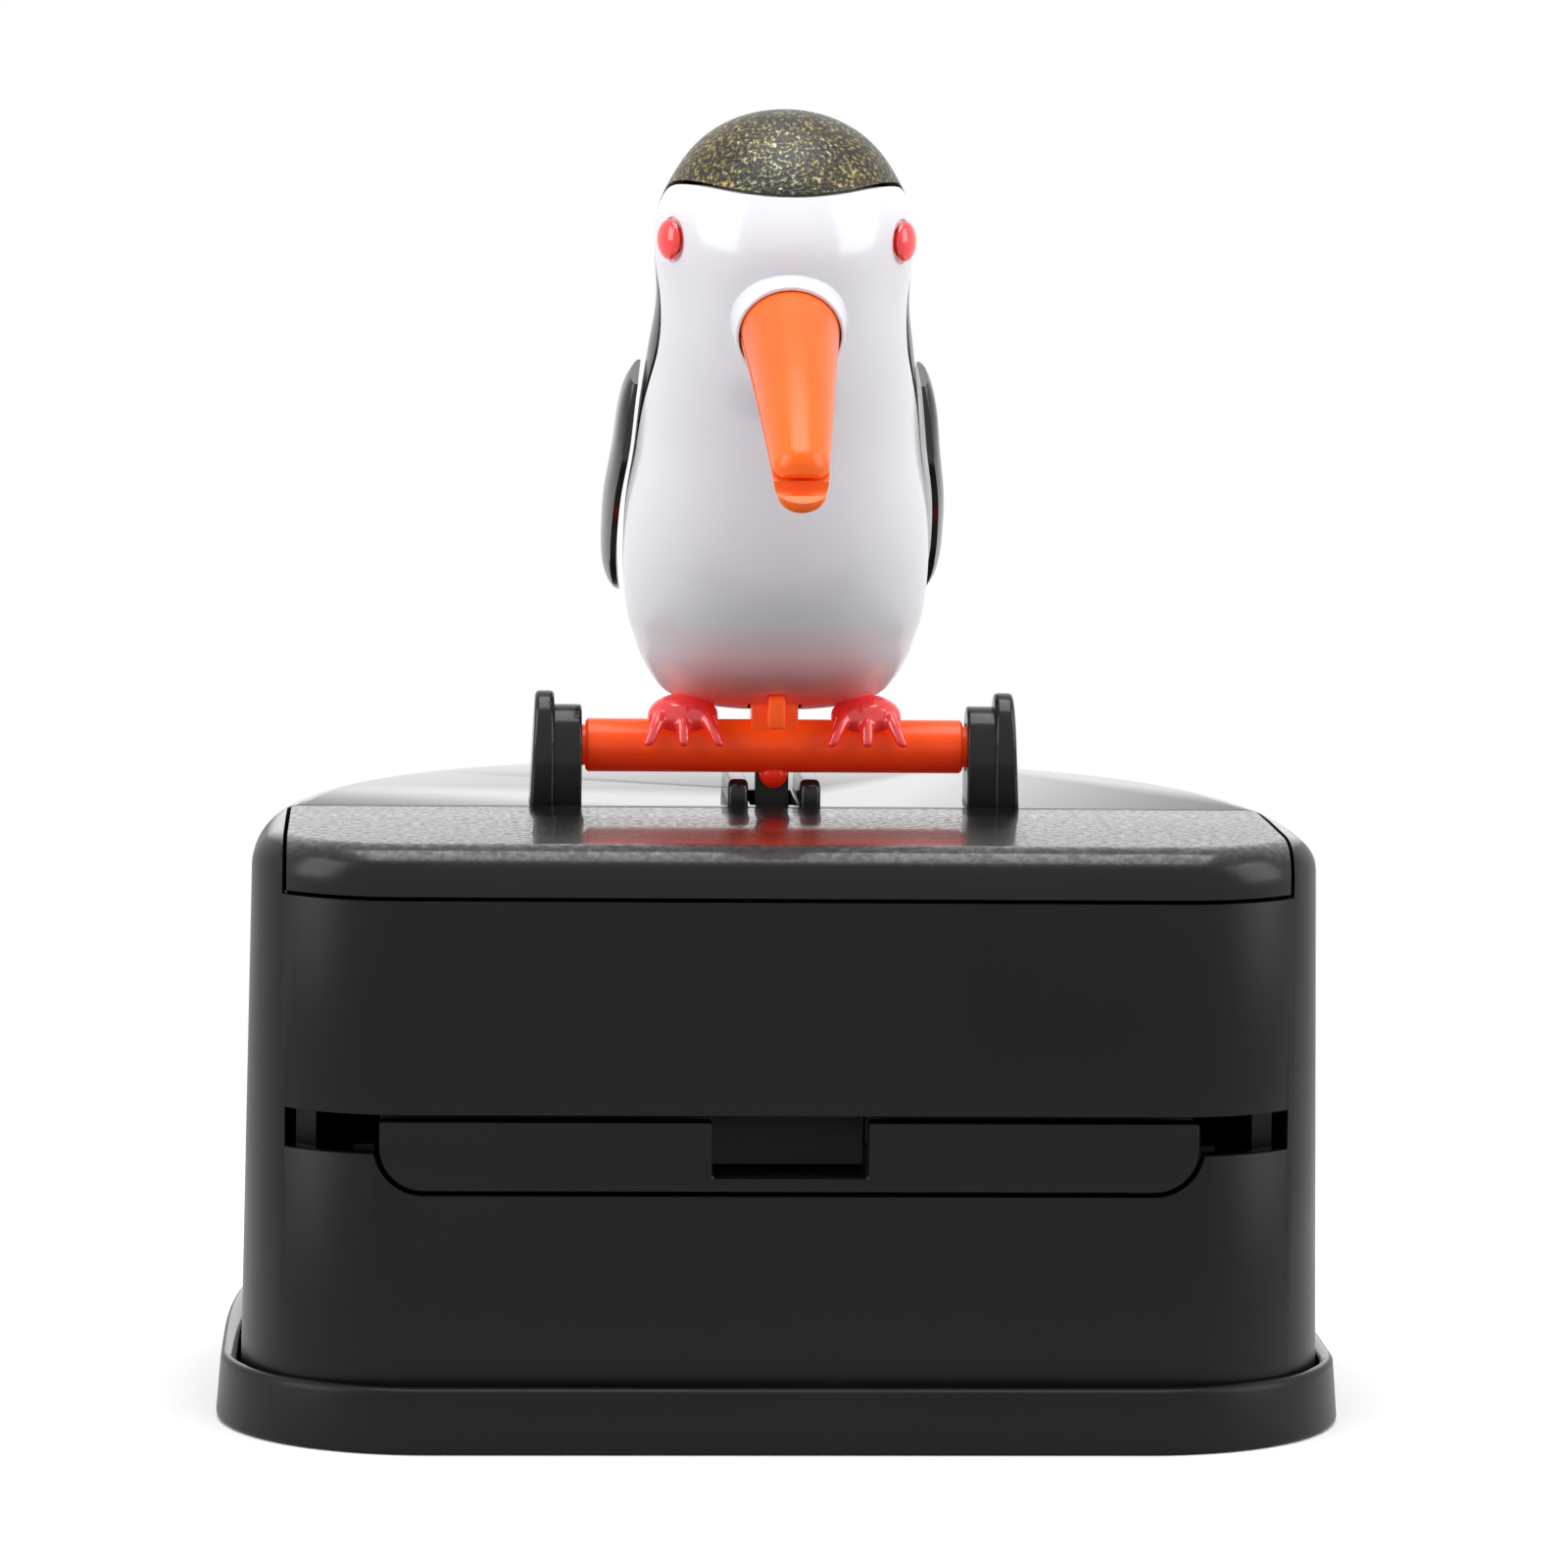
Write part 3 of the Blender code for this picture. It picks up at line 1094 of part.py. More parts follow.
def make_feet():
    """Claws: a flattened dome on the bar and three toes that wrap round its front."""
    pivot = (0.0, AXIS_Y, AXIS_Z)
    centre = Vector((FOOT_OFFSET, AXIS_Y - BAR_RADIUS / 4, AXIS_Z + FOOT_RISE))
    bm = bmesh.new()
    scale = Matrix.Diagonal((*FOOT_LENGTH_SHARES, 1))
    bmesh.ops.create_uvsphere(
        bm, u_segments=15, v_segments=9, radius=FOOT_RADIUS, matrix=Matrix.Translation(centre) @ scale)
    foot = add_piece("foot_right", bm, "red", pivot)
    for number, spread in enumerate((-1, 0, 1), 1):
        join(foot, f"toe_{number}", toe(centre, spread))
    reach = FOOT_RADIUS * 3
    cut(foot, "foot_grip", rod(
        BAR_RADIUS + GAP, (centre.x - reach, AXIS_Y, AXIS_Z), (centre.x + reach, AXIS_Y, AXIS_Z), 28))
    other = bmesh.new()
    other.from_mesh(finished_mesh(foot))
    bmesh.ops.scale(other, vec=(-1, 1, 1), verts=other.verts)
    bmesh.ops.translate(other, vec=pivot, verts=other.verts)
    add_piece("foot_left", other, "red", pivot)


def finished_mesh(piece):
    """A piece's mesh with its modifiers applied."""
    bpy.context.view_layer.update()
    depsgraph = bpy.context.evaluated_depsgraph_get()
    return bpy.data.meshes.new_from_object(piece.evaluated_get(depsgraph))


def toe(centre, spread):
    """One toe, a tapered sweep round the bar's front."""
    reach = BAR_RADIUS + GAP + TOE_RADIUS * TOE_SEAT_SHARE
    root, tip = TOE_TAPER_SHARES
    rings = []
    for step in range(TOE_POINTS + 1):
        part = step / TOE_POINTS
        angle = math.radians(TOE_START + (TOE_END - TOE_START) * part)
        radial = Vector((0.0, math.cos(angle), math.sin(angle)))
        sideways = spread * TOE_SPREAD * (TOE_ROOT_SPREAD_SHARE + (1 - TOE_ROOT_SPREAD_SHARE) * part)
        place = Vector((centre.x + sideways, AXIS_Y, AXIS_Z)) + radial * reach
        radius = TOE_RADIUS * (root + (tip - root) * part)
        ring = []
        for index in range(TOE_SIDES):
            turn = 2 * math.pi * index / TOE_SIDES
            ring.append(place + Vector((radius * math.cos(turn), 0, 0)) + radial * radius * math.sin(turn))
        rings.append(ring)
    return loft(rings)


def make_screws():
    """Self-tapping screws with domed heads, turned from one profile."""
    head = SCREW_SINK + SCREW_HEAD_HEIGHT - GAP
    end = BASE_FLOOR + SCREW_LENGTH - GAP
    profile = [
        (0.0, end), (SCREW_RADIUS, end - SCREW_RADIUS), (SCREW_RADIUS, head), (SCREW_HEAD_RADIUS, head),
        (SCREW_HEAD_RADIUS, SCREW_SINK + SCREW_HEAD_HEIGHT / 3),
        (SCREW_HEAD_RADIUS * SCREW_HEAD_FLAT_SHARE, SCREW_SINK), (0.0, SCREW_SINK)]
    for number, (x, y) in enumerate(screw_places(), 1):
        turned(f"base_screw_{number}", profile, "steel", (x, y, 0.0), (0, 0, 1), 16)


make_base()
make_housing()
make_lid()
make_drawer()
make_feed_bed()
make_hopper()
make_springs()
make_rocker()
make_perch_bar()
make_bird_shells()
make_eyes()
make_beak()
make_wings()
make_feet()
make_screws()
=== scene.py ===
import math

import bmesh
import bpy
from mathutils import Matrix, Vector


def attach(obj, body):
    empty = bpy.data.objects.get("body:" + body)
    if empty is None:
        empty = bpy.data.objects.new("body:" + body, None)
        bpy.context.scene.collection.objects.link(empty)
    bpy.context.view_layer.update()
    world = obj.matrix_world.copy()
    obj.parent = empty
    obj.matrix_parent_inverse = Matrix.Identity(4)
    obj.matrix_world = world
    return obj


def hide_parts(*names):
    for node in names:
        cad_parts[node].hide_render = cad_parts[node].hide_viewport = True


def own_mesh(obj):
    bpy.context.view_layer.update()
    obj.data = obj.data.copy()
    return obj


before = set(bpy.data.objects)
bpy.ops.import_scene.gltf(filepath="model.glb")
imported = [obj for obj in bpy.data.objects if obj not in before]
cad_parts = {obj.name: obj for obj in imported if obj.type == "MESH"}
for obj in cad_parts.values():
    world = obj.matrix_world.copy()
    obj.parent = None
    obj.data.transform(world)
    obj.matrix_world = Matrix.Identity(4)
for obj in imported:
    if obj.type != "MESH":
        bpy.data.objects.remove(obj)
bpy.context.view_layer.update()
mm = 0.001
overrun = 4 * mm  # how far a cutter stands past what it cuts
print("frame loaded")


# shader helpers

class Wire:
    # a socket that is added, taken away or multiplied
    def __init__(self, graph, socket):
        self.graph = graph
        self.socket = socket

    def __add__(self, other):
        return self.graph.maths("ADD", self, other)

    def __radd__(self, other):
        return self.graph.maths("ADD", other, self)

    def __sub__(self, other):
        return self.graph.maths("SUBTRACT", self, other)

    def __rsub__(self, other):
        return self.graph.maths("SUBTRACT", other, self)

    def __mul__(self, other):
        return self.graph.maths("MULTIPLY", self, other)

    def __rmul__(self, other):
        return self.graph.maths("MULTIPLY", other, self)


class Graph:
    # the nodes of a material or of the world
    def __init__(self, owner, shader="Principled BSDF"):
        owner.use_nodes = True
        self.owner = owner
        self.tree = owner.node_tree
        self.shader = self.tree.nodes[shader]

    def add(self, kind, settings, inputs, out=0):
        node = self.tree.nodes.new(kind)
        for key, value in settings.items():
            if key == "stops":
                ramp = node.color_ramp.elements
                for index, (place, colour) in enumerate(value):
                    stop = ramp[index] if index < len(ramp) else ramp.new(place)
                    stop.position = place
                    stop.color = colour
            else:
                setattr(node, key, value)
        for key, value in inputs.items():
            self.feed(node.inputs[key], value)
        return Wire(self, node.outputs[out])

    def feed(self, socket, value):
        if isinstance(value, Wire):
            self.tree.links.new(value.socket, socket)
        else:
            socket.default_value = value

    def maths(self, operation, first, second=0.0, clamp=False):
        return self.add("ShaderNodeMath", {"operation": operation, "use_clamp": clamp}, {0: first, 1: second})

    def coordinates(self, centre=(0, 0, 0)):
        place = self.add("ShaderNodeTexCoord", {}, {}, "Object")
        return self.add("ShaderNodeMapping", {}, {"Vector": place, "Location": [-value for value in centre]})

    def axis(self, vector, name):
        return self.add("ShaderNodeSeparateXYZ", {}, {0: vector}, name)

    def upward(self, low, high):
        # 1 where the surface looks up
        return self.between(self.axis(self.add("ShaderNodeNewGeometry", {}, {}, "Normal"), "Z"), low, high)

    def noise(self, vector, scale, detail=2.0, rough=0.5):
        values = {"Vector": vector, "Scale": scale, "Detail": detail, "Roughness": rough}
        return self.add("ShaderNodeTexNoise", {}, values)

    def between(self, value, low, high, outLow=0.0, outHigh=1.0):
        return self.add(
            "ShaderNodeMapRange", {"clamp": True},
            {"Value": value, "From Min": low, "From Max": high, "To Min": outLow, "To Max": outHigh})

    def within(self, value, limits):
        # 1 below the limits, 0 past them
        return self.between(value, *limits, 1.0, 0.0)

    def mottle(self, cloud, values):
        return self.between(cloud, 0.3, 0.7, *values)

    def blend(self, factor, first, second):
        return self.add("ShaderNodeMix", {"data_type": "RGBA"}, {0: factor, 6: first, 7: second}, 2)

    def bump(self, height, distance, strength=1.0):
        return self.add(
            "ShaderNodeBump", {}, {"Height": height, "Distance": distance, "Strength": strength}, "Normal")

    def shine(self, **values):
        for name, value in values.items():
            self.feed(self.shader.inputs[name.replace("_", " ")], value)
        return self.owner


def newFinish(name):
    return Graph(bpy.data.materials.new(name))


def rgb(red, green, blue):
    return (red, green, blue, 1.0)


# mesh helpers

def roundTable(table, at):
    # smooth value at a place, from (place, value) pairs
    places = [place for place, _ in table]
    values = [value for _, value in table]
    if at <= places[0]:
        return values[0]
    if at >= places[-1]:
        return values[-1]
    index = min(max(i for i, place in enumerate(places) if place <= at), len(places) - 2)
    slopes = []
    for i in (index, index + 1):
        before, after = max(i - 1, 0), min(i + 1, len(places) - 1)
        slopes.append((values[after] - values[before]) / (places[after] - places[before]))
    span = places[index + 1] - places[index]
    t = (at - places[index]) / span
    return (
        (2 * t ** 3 - 3 * t ** 2 + 1) * values[index] + (t ** 3 - 2 * t ** 2 + t) * span * slopes[0]
        + (3 * t ** 2 - 2 * t ** 3) * values[index + 1] + (t ** 3 - t ** 2) * span * slopes[1])


def arcPoints(centre, radius, start, end, steps):
    points = []
    for index in range(steps + 1):
        angle = math.radians(start + (end - start) * index / steps)
        points.append((centre[0] + radius * math.cos(angle), centre[1] + radius * math.sin(angle)))
    return points


def quarterTurn(steps):
    # (sine, cosine) pairs for a rounded edge
    angles = [math.pi / 2 * index / steps for index in range(steps + 1)]
    return [(math.sin(angle), math.cos(angle)) for angle in angles]


def loopEdges(bm, loop):
    return [bm.edges.get(pair) for pair in zip(loop, loop[1:] + loop[:1])]


def sweepRings(rings):
    # a capped circle laid on the first ring, extruded from ring to ring and capped again
    bm = bmesh.new()
    loop = bmesh.ops.create_circle(bm, cap_ends=True, segments=len(rings[0]), radius=1)["verts"]
    for vert, point in zip(loop, rings[0]):
        vert.co = point
    for ring in rings[1:]:
        made = bmesh.ops.extrude_edge_only(bm, edges=loopEdges(bm, loop))["geom"]
        fresh = {item for item in made if isinstance(item, bmesh.types.BMVert)}
        loop = [next(e.other_vert(v) for e in v.link_edges if e.other_vert(v) in fresh) for v in loop]
        for vert, point in zip(loop, ring):
            vert.co = point
    bmesh.ops.contextual_create(bm, geom=loopEdges(bm, loop))
    bmesh.ops.recalc_face_normals(bm, faces=bm.faces)
    return bm


def boxMesh(low, high):
    bm = bmesh.new()
    size = [b - a for a, b in zip(low, high)]
    middle = [(a + b) / 2 for a, b in zip(low, high)]
    bmesh.ops.create_cube(bm, size=1, matrix=Matrix.Translation(middle) @ Matrix.Diagonal((*size, 1)))
    return bm


def rodMesh(radius, low, high, segments=48, endRadius=None):
    low, high = Vector(low), Vector(high)
    along = high - low
    place = Matrix.Translation((low + high) / 2) @ along.to_track_quat("Z", "Y").to_matrix().to_4x4()
    bm = bmesh.new()
    bmesh.ops.create_cone(
        bm, cap_ends=True, segments=segments, radius1=radius, radius2=endRadius or radius,
        depth=along.length, matrix=place)
    return bm


def spinProfile(profile, place, direction, steps):
    # (radius, along) pairs turned round a line
    bm = bmesh.new()
    verts = [bm.verts.new((radius, 0.0, along)) for radius, along in profile]
    edges = [bm.edges.new(pair) for pair in zip(verts, verts[1:])]
    bmesh.ops.spin(
        bm, geom=verts + edges, cent=(0, 0, 0), axis=(0, 0, 1), dvec=(0, 0, 0), angle=2 * math.pi,
        steps=steps, use_merge=True)
    bmesh.ops.remove_doubles(bm, verts=bm.verts, dist=0.002 * mm)
    bmesh.ops.recalc_face_normals(bm, faces=bm.faces)
    turn = Vector(direction).to_track_quat("Z", "Y").to_matrix().to_4x4()
    bmesh.ops.transform(bm, matrix=Matrix.Translation(place) @ turn, verts=bm.verts)
    return bm


def sidePrism(outline, lowX, highX):
    return sweepRings([[(x, y, z) for y, z in outline] for x in (lowX, highX)])


def frontPrism(outline, lowY, highY):
    return sweepRings([[(x, y, z) for x, z in outline] for y in (lowY, highY)])


def temporary(bm):
    mesh = bpy.data.meshes.new("temporary")
    bm.to_mesh(mesh)
    bm.free()
    thing = bpy.data.objects.new("temporary", mesh)
    bpy.context.scene.collection.objects.link(thing)
    return thing


def modified(thing, *helpers):
    # a temporary object's mesh after its modifier; the objects go
    bpy.context.view_layer.update()
    mesh = bpy.data.meshes.new_from_object(thing.evaluated_get(bpy.context.evaluated_depsgraph_get()))
    result = bmesh.new()
    result.from_mesh(mesh)
    bpy.data.meshes.remove(mesh)
    for item in (thing, *helpers):
        data = item.data
        bpy.data.objects.remove(item)
        bpy.data.meshes.remove(data)
    return result


def carve(bm, tool, operation="DIFFERENCE"):
    body, cutter = temporary(bm), temporary(tool)
    modifier = body.modifiers.new("carve", "BOOLEAN")
    modifier.operation = operation
    modifier.solver = "EXACT"
    modifier.object = cutter
    return modified(body, cutter)


def carveAll(bm, *tools):
    for tool in tools:
        bm = carve(bm, tool)
    return bm


def tidyMesh(bm, merge=0.004 * mm, flat=True):
    # flat: joins the loose triangles of level faces again
    bmesh.ops.remove_doubles(bm, verts=bm.verts, dist=merge)
    bmesh.ops.dissolve_degenerate(bm, edges=bm.edges, dist=merge)
    if flat:
        bmesh.ops.dissolve_limit(bm, angle_limit=math.radians(0.15), verts=bm.verts, edges=bm.edges)
    return bm


def softenEdges(bm, width, angle=40, segments=3):
    # rounds every edge that turns by more than the angle
    edges = [
        edge for edge in bm.edges
        if len(edge.link_faces) == 2 and math.degrees(edge.calc_face_angle(0)) > angle]
    bmesh.ops.bevel(
        bm, geom=edges, offset=width, offset_type="OFFSET", segments=segments, profile=0.5, affect="EDGES",
        clamp_overlap=True, material=-1)
    return bm


def gather(*parts):
    # several closed bodies in one mesh
    whole = bmesh.new()
    for part in parts:
        mesh = bpy.data.meshes.new("temporary")
        part.to_mesh(mesh)
        part.free()
        whole.from_mesh(mesh)
        bpy.data.meshes.remove(mesh)
    return whole


def finishPiece(name, bm, finish, body, node, angle=32, normals=True):
    if normals:
        bmesh.ops.recalc_face_normals(bm, faces=bm.faces)
    material, slotName = finishes[finish]
    mesh = bpy.data.meshes.new(name)
    bm.to_mesh(mesh)
    bm.free()
    mesh.materials.append(material)
    mesh.shade_smooth()
    mesh.set_sharp_from_angle(angle=math.radians(angle))
    piece = bpy.data.objects.new(name, mesh)
    bpy.context.scene.collection.objects.link(piece)
    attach(piece, body)
    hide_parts(node)
    print("made", name, len(mesh.polygons), "faces")
    return piece


def dressNode(name, finish):
    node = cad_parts[name]
    node.data.materials.clear()
    node.data.materials.append(finishes[finish][0])


# plan of the box: straight front, round front corners, one superellipse round the rear

planCounts = {"front": 12, "corner": 20, "rear": 150, "wall": 6, "round": 10}


def planRing(halfWidth, front, rear, corner, power, z):
    steps, count = planCounts["front"], planCounts["rear"]
    flat = halfWidth - corner
    reach = rear - front - corner
    bend = arcPoints((flat, front + corner), corner, -90, 0, planCounts["corner"])
    points = [(flat * index / steps, front) for index in range(steps)] + bend
    for index in range(1, count):
        angle = math.pi * index / count
        x = math.copysign(abs(math.cos(angle)) ** (2 / power), math.cos(angle)) * halfWidth
        points.append((x, front + corner + reach * math.sin(angle) ** (2 / power)))
    points += [(-x, y) for x, y in reversed(bend)]
    points += [(-flat * (steps - index) / steps, front) for index in range(1, steps)]
    return [(x, y, z) for x, y in points]


boxForm = {
    "foot": 2.3 * mm, "top": 42.35 * mm, "rimHeight": 4.7 * mm, "wall": 1.8 * mm, "topWall": 2.0 * mm,
    "halfWidth": 38.4 * mm, "halfDepth": 31.2 * mm, "draft": 0.7 * mm, "rearLean": 1.2 * mm,
    "corner": (11.5 * mm, 10.5 * mm), "power": (3.4, 2.5), "round": 2.4 * mm, "edge": 0.16 * mm,
    "sink": 0.6 * mm,  # how deep posts and ribs go into the top
}


def housingRing(z, inset):
    form = boxForm
    share = (z - form["rimHeight"]) / (form["top"] - form["rimHeight"])
    corner, power = (low + (high - low) * share for low, high in (form["corner"], form["power"]))
    return planRing(
        form["halfWidth"] - form["draft"] * share - inset, -form["halfDepth"] + form["draft"] * share + inset,
        form["halfDepth"] - form["rearLean"] * share - inset, corner - inset, power, z)


def housingBody(low):
    form = boxForm
    high = form["top"] - form["round"]
    steps = planCounts["wall"]
    rings = [housingRing(low + (high - low) * index / steps, 0.0) for index in range(steps)]
    for sine, cosine in quarterTurn(planCounts["round"]):
        rings.append(housingRing(high + form["round"] * sine, form["round"] * (1 - cosine)))
    return sweepRings(rings)


frontY = -(boxForm["halfDepth"] - boxForm["draft"] / 2)
innerFrontY = frontY + boxForm["wall"]


# materials

boxFinish = {
    "dark": rgb(0.0055, 0.0055, 0.0057), "light": rgb(0.0078, 0.0078, 0.0080), "cloud": 55.0, "speck": 2600.0,
    "rough": (0.32, 0.40), "level": (0.80, 0.99), "polish": 0.85, "perchHeight": (42.5 * mm, 42.8 * mm),
    "perchPolish": 0.32, "grain": 0.006 * mm,
}


def boxBlack():
    # satin sides, a polished top and half polished posts
    form = boxFinish
    g = newFinish("boxBlack")
    place = g.coordinates()
    cloud = g.noise(place, form["cloud"], 3.0)
    perch = g.between(g.axis(place, "Z"), *form["perchHeight"])
    polish = g.maths("MAXIMUM", g.upward(*form["level"]) * form["polish"], perch * form["perchPolish"])
    return g.shine(
        Base_Color=g.blend(cloud, form["dark"], form["light"]),
        Roughness=g.mottle(cloud, form["rough"]) * (1.0 - polish),
        Coat_Weight=polish, Coat_Roughness=0.04, Specular_IOR_Level=0.16,
        Normal=g.bump(g.noise(place, form["speck"]), form["grain"], 0.35))


lidFinish = {
    # painted glints: the light grey below is laid on the highest grit of upward faces
    "dark": rgb(0.006, 0.006, 0.006), "light": rgb(0.009, 0.009, 0.009), "paintedGlint": rgb(0.12, 0.12, 0.12),
    "cloud": 70.0, "grit": 1700.0, "rough": (0.20, 0.28), "level": (0.45, 0.98), "raised": (0.42, 0.56),
    "paintedGlintLevel": (0.60, 0.70), "coat": 0.25, "peakCoat": 0.75, "sideGrain": 0.2, "grain": 0.06 * mm,
}


def lidGrainAndPaintedGlints():
    # spark-eroded grain on top, a little smoother where it rolls over the front; the highest grit on upward
    # faces is painted light grey as glints
    form = lidFinish
    g = newFinish("lidGrainAndPaintedGlints")
    place = g.coordinates()
    grit = g.noise(place, form["grit"], 6.0, 0.72)
    cloud = g.noise(place, form["cloud"])
    upward = g.upward(*form["level"])
    glintPeaks = g.between(grit, *form["raised"]) * upward
    base = g.blend(cloud, form["dark"], form["light"])
    return g.shine(
        Base_Color=g.blend(glintPeaks * g.between(grit, *form["paintedGlintLevel"]), base, form["paintedGlint"]),
        Roughness=g.between(cloud, 0.2, 0.8, *form["rough"]),
        Coat_Weight=upward * form["coat"] + glintPeaks * form["peakCoat"], Coat_Roughness=0.08,
        Specular_IOR_Level=0.24,
        Normal=g.bump(grit * (form["sideGrain"] + upward * (1 - form["sideGrain"])), form["grain"]))


whiteFinish = {
    "dark": rgb(0.80, 0.79, 0.84), "light": rgb(0.83, 0.82, 0.865), "cloud": 40.0, "rough": (0.20, 0.26),
    "coat": 0.35, "ripple": (900.0, 0.004 * mm),
    # the red below is painted bounce light from the bar and the feet, laid on the belly's lower front
    "paintedBounce": rgb(1.0, 0.17, 0.14), "paintedBounceShare": 0.9, "paintedBounceHeight": (50.4 * mm, 56.0 * mm),
    "paintedBounceSide": (5.0 * mm, 9.5 * mm), "paintedBounceDepth": (-3.0 * mm, 1.0 * mm),
}


def whiteShell():
    # painted red bounce light: the belly's lower front is painted red where the bar and the feet below it
    # would throw their light
    form = whiteFinish
    g = newFinish("whiteShell")
    place = g.coordinates()
    cloud = g.noise(place, form["cloud"])
    aside = g.maths("ABSOLUTE", g.axis(place, "X"))
    paintedBounce = g.within(g.axis(place, "Z"), form["paintedBounceHeight"]) * g.within(aside, form["paintedBounceSide"])
    paintedBounce = paintedBounce * g.within(g.axis(place, "Y"), form["paintedBounceDepth"])
    base = g.blend(cloud, form["dark"], form["light"])
    scale, height = form["ripple"]
    return g.shine(
        Base_Color=g.blend(paintedBounce * form["paintedBounceShare"], base, form["paintedBounce"]),
        Roughness=g.mottle(cloud, form["rough"]), Coat_Weight=form["coat"], Coat_Roughness=0.08,
        Subsurface_Weight=0.06, Subsurface_Radius=(0.6 * mm, 0.4 * mm, 0.4 * mm),
        Normal=g.bump(g.noise(place, scale, 1.0), height, 0.4))


backFinish = {
    "shell": rgb(0.008, 0.008, 0.009), "flake": 3300.0, "patch": 150.0, "ragged": (420.0, 1.2 * mm),
    "crownHeight": (82.2 * mm, 83.0 * mm), "crownLean": 0.12, "metal": 0.55, "rough": (0.18, 0.32),
    "stops": (0.45, 0.51, 0.59, 0.72), "relief": 0.12 * mm, "shellRelief": 0.04,
    "gold": (
        rgb(0.006, 0.005, 0.003), rgb(0.055, 0.040, 0.009), rgb(0.20, 0.14, 0.032), rgb(0.52, 0.42, 0.17)),
    "olive": (
        rgb(0.006, 0.006, 0.005), rgb(0.032, 0.031, 0.016), rgb(0.115, 0.108, 0.062), rgb(0.38, 0.36, 0.25)),
}


def glitterBack():
    # black shell, flaked with gold and olive over the crown
    form = backFinish
    g = newFinish("glitterBack")
    place = g.coordinates()
    flake = g.noise(place, form["flake"], 2.0, 0.55)
    patch = g.between(g.noise(place, form["patch"]), 0.35, 0.65)
    gold, olive = (
        g.add("ShaderNodeValToRGB", {"stops": zip(form["stops"], form[name])}, {"Fac": flake})
        for name in ("gold", "olive"))
    scale, reach = form["ragged"]
    height = g.axis(place, "Z") + g.axis(place, "Y") * form["crownLean"]
    crown = g.between(height + (g.noise(place, scale) - 0.5) * reach, *form["crownHeight"])
    return g.shine(
        Base_Color=g.blend(crown, form["shell"], g.blend(patch, olive, gold)),
        Metallic=crown * g.between(flake, 0.45, 0.6) * form["metal"],
        Roughness=g.between(crown, 0.0, 1.0, *form["rough"]), Specular_IOR_Level=0.4,
        Normal=g.bump(flake * (form["shellRelief"] + crown * (1 - form["shellRelief"])), form["relief"], 0.8))


wingFinish = {
    "dark": rgb(0.006, 0.006, 0.007), "light": rgb(0.012, 0.012, 0.013), "cloud": 260.0,
    "rough": (0.12, 0.22), "relief": 0.05 * mm,
}


def wingBlack():
    form = wingFinish
    g = newFinish("wingBlack")
    cloud = g.noise(g.coordinates(), form["cloud"], 3.0)
    return g.shine(
        Base_Color=g.blend(cloud, form["dark"], form["light"]), Roughness=g.mottle(cloud, form["rough"]),
        Specular_IOR_Level=0.42, Normal=g.bump(cloud, form["relief"], 0.4))


barFinish = {
    "centre": (0, -2.2 * mm, 46.6 * mm), "height": (-1.9 * mm, 1.6 * mm), "cloud": 150.0, "cloudShare": 0.1,
    # low and high are painted shade: the bar darker red underneath and lighter orange on top
    "low": rgb(0.84, 0.018, 0.004), "high": rgb(1.0, 0.105, 0.010), "warm": rgb(1.0, 0.13, 0.014),
    # glow is a painted glow, though the bar is no lamp
    "rough": (0.24, 0.32), "glow": 0.20, "ripple": (1400.0, 0.004 * mm),
}


def barOrange():
    # painted shade: darker and redder underneath, lighter orange on top; and a painted glow in the bar's own
    # colour
    form = barFinish
    g = newFinish("barOrange")
    place = g.coordinates(form["centre"])
    cloud = g.noise(place, form["cloud"])
    base = g.blend(g.between(g.axis(place, "Z"), *form["height"]), form["low"], form["high"])
    scale, height = form["ripple"]
    return g.shine(
        Base_Color=g.blend(cloud * form["cloudShare"], base, form["warm"]),
        Roughness=g.mottle(cloud, form["rough"]), Specular_IOR_Level=0.30,
        Emission_Color=base, Emission_Strength=form["glow"],
        Subsurface_Weight=0.12, Subsurface_Radius=(1.2 * mm, 0.3 * mm, 0.1 * mm),
        Normal=g.bump(g.noise(place, scale, 1.0), height, 0.4))


beakFinish = {
    "centre": (0, -15.0 * mm, 78.8 * mm), "outward": (-22.0 * mm, 0.0), "cloud": 180.0, "cloudShare": 0.15,
    "tip": rgb(1.0, 0.150, 0.012), "root": rgb(0.97, 0.118, 0.009), "warm": rgb(1.0, 0.20, 0.03),
    # a small pale spot on top, near the root
    "paleSpot": rgb(1.0, 0.72, 0.45), "paleSpotPlace": (0.0, -2.3 * mm, 2.5 * mm),
    "paleSpotRadius": (0.30 * mm, 0.45 * mm), "rough": (0.22, 0.30), "ripple": (1200.0, 0.004 * mm),
}


def beakOrange():
    # with a small pale spot on top, near the root
    form = beakFinish
    g = newFinish("beakOrange")
    place = g.coordinates(form["centre"])
    cloud = g.noise(place, form["cloud"])
    base = g.blend(g.between(g.axis(place, "Y"), *form["outward"]), form["tip"], form["root"])
    away = g.add("ShaderNodeVectorMath", {"operation": "DISTANCE"}, {0: place, 1: form["paleSpotPlace"]}, "Value")
    colour = g.blend(cloud * form["cloudShare"], base, form["warm"])
    scale, height = form["ripple"]
    return g.shine(
        Base_Color=g.blend(g.within(away, form["paleSpotRadius"]), colour, form["paleSpot"]),
        Roughness=g.mottle(cloud, form["rough"]), Specular_IOR_Level=0.28,
        Subsurface_Weight=0.12, Subsurface_Radius=(1.2 * mm, 0.4 * mm, 0.1 * mm),
        Normal=g.bump(g.noise(place, scale, 1.0), height, 0.4))


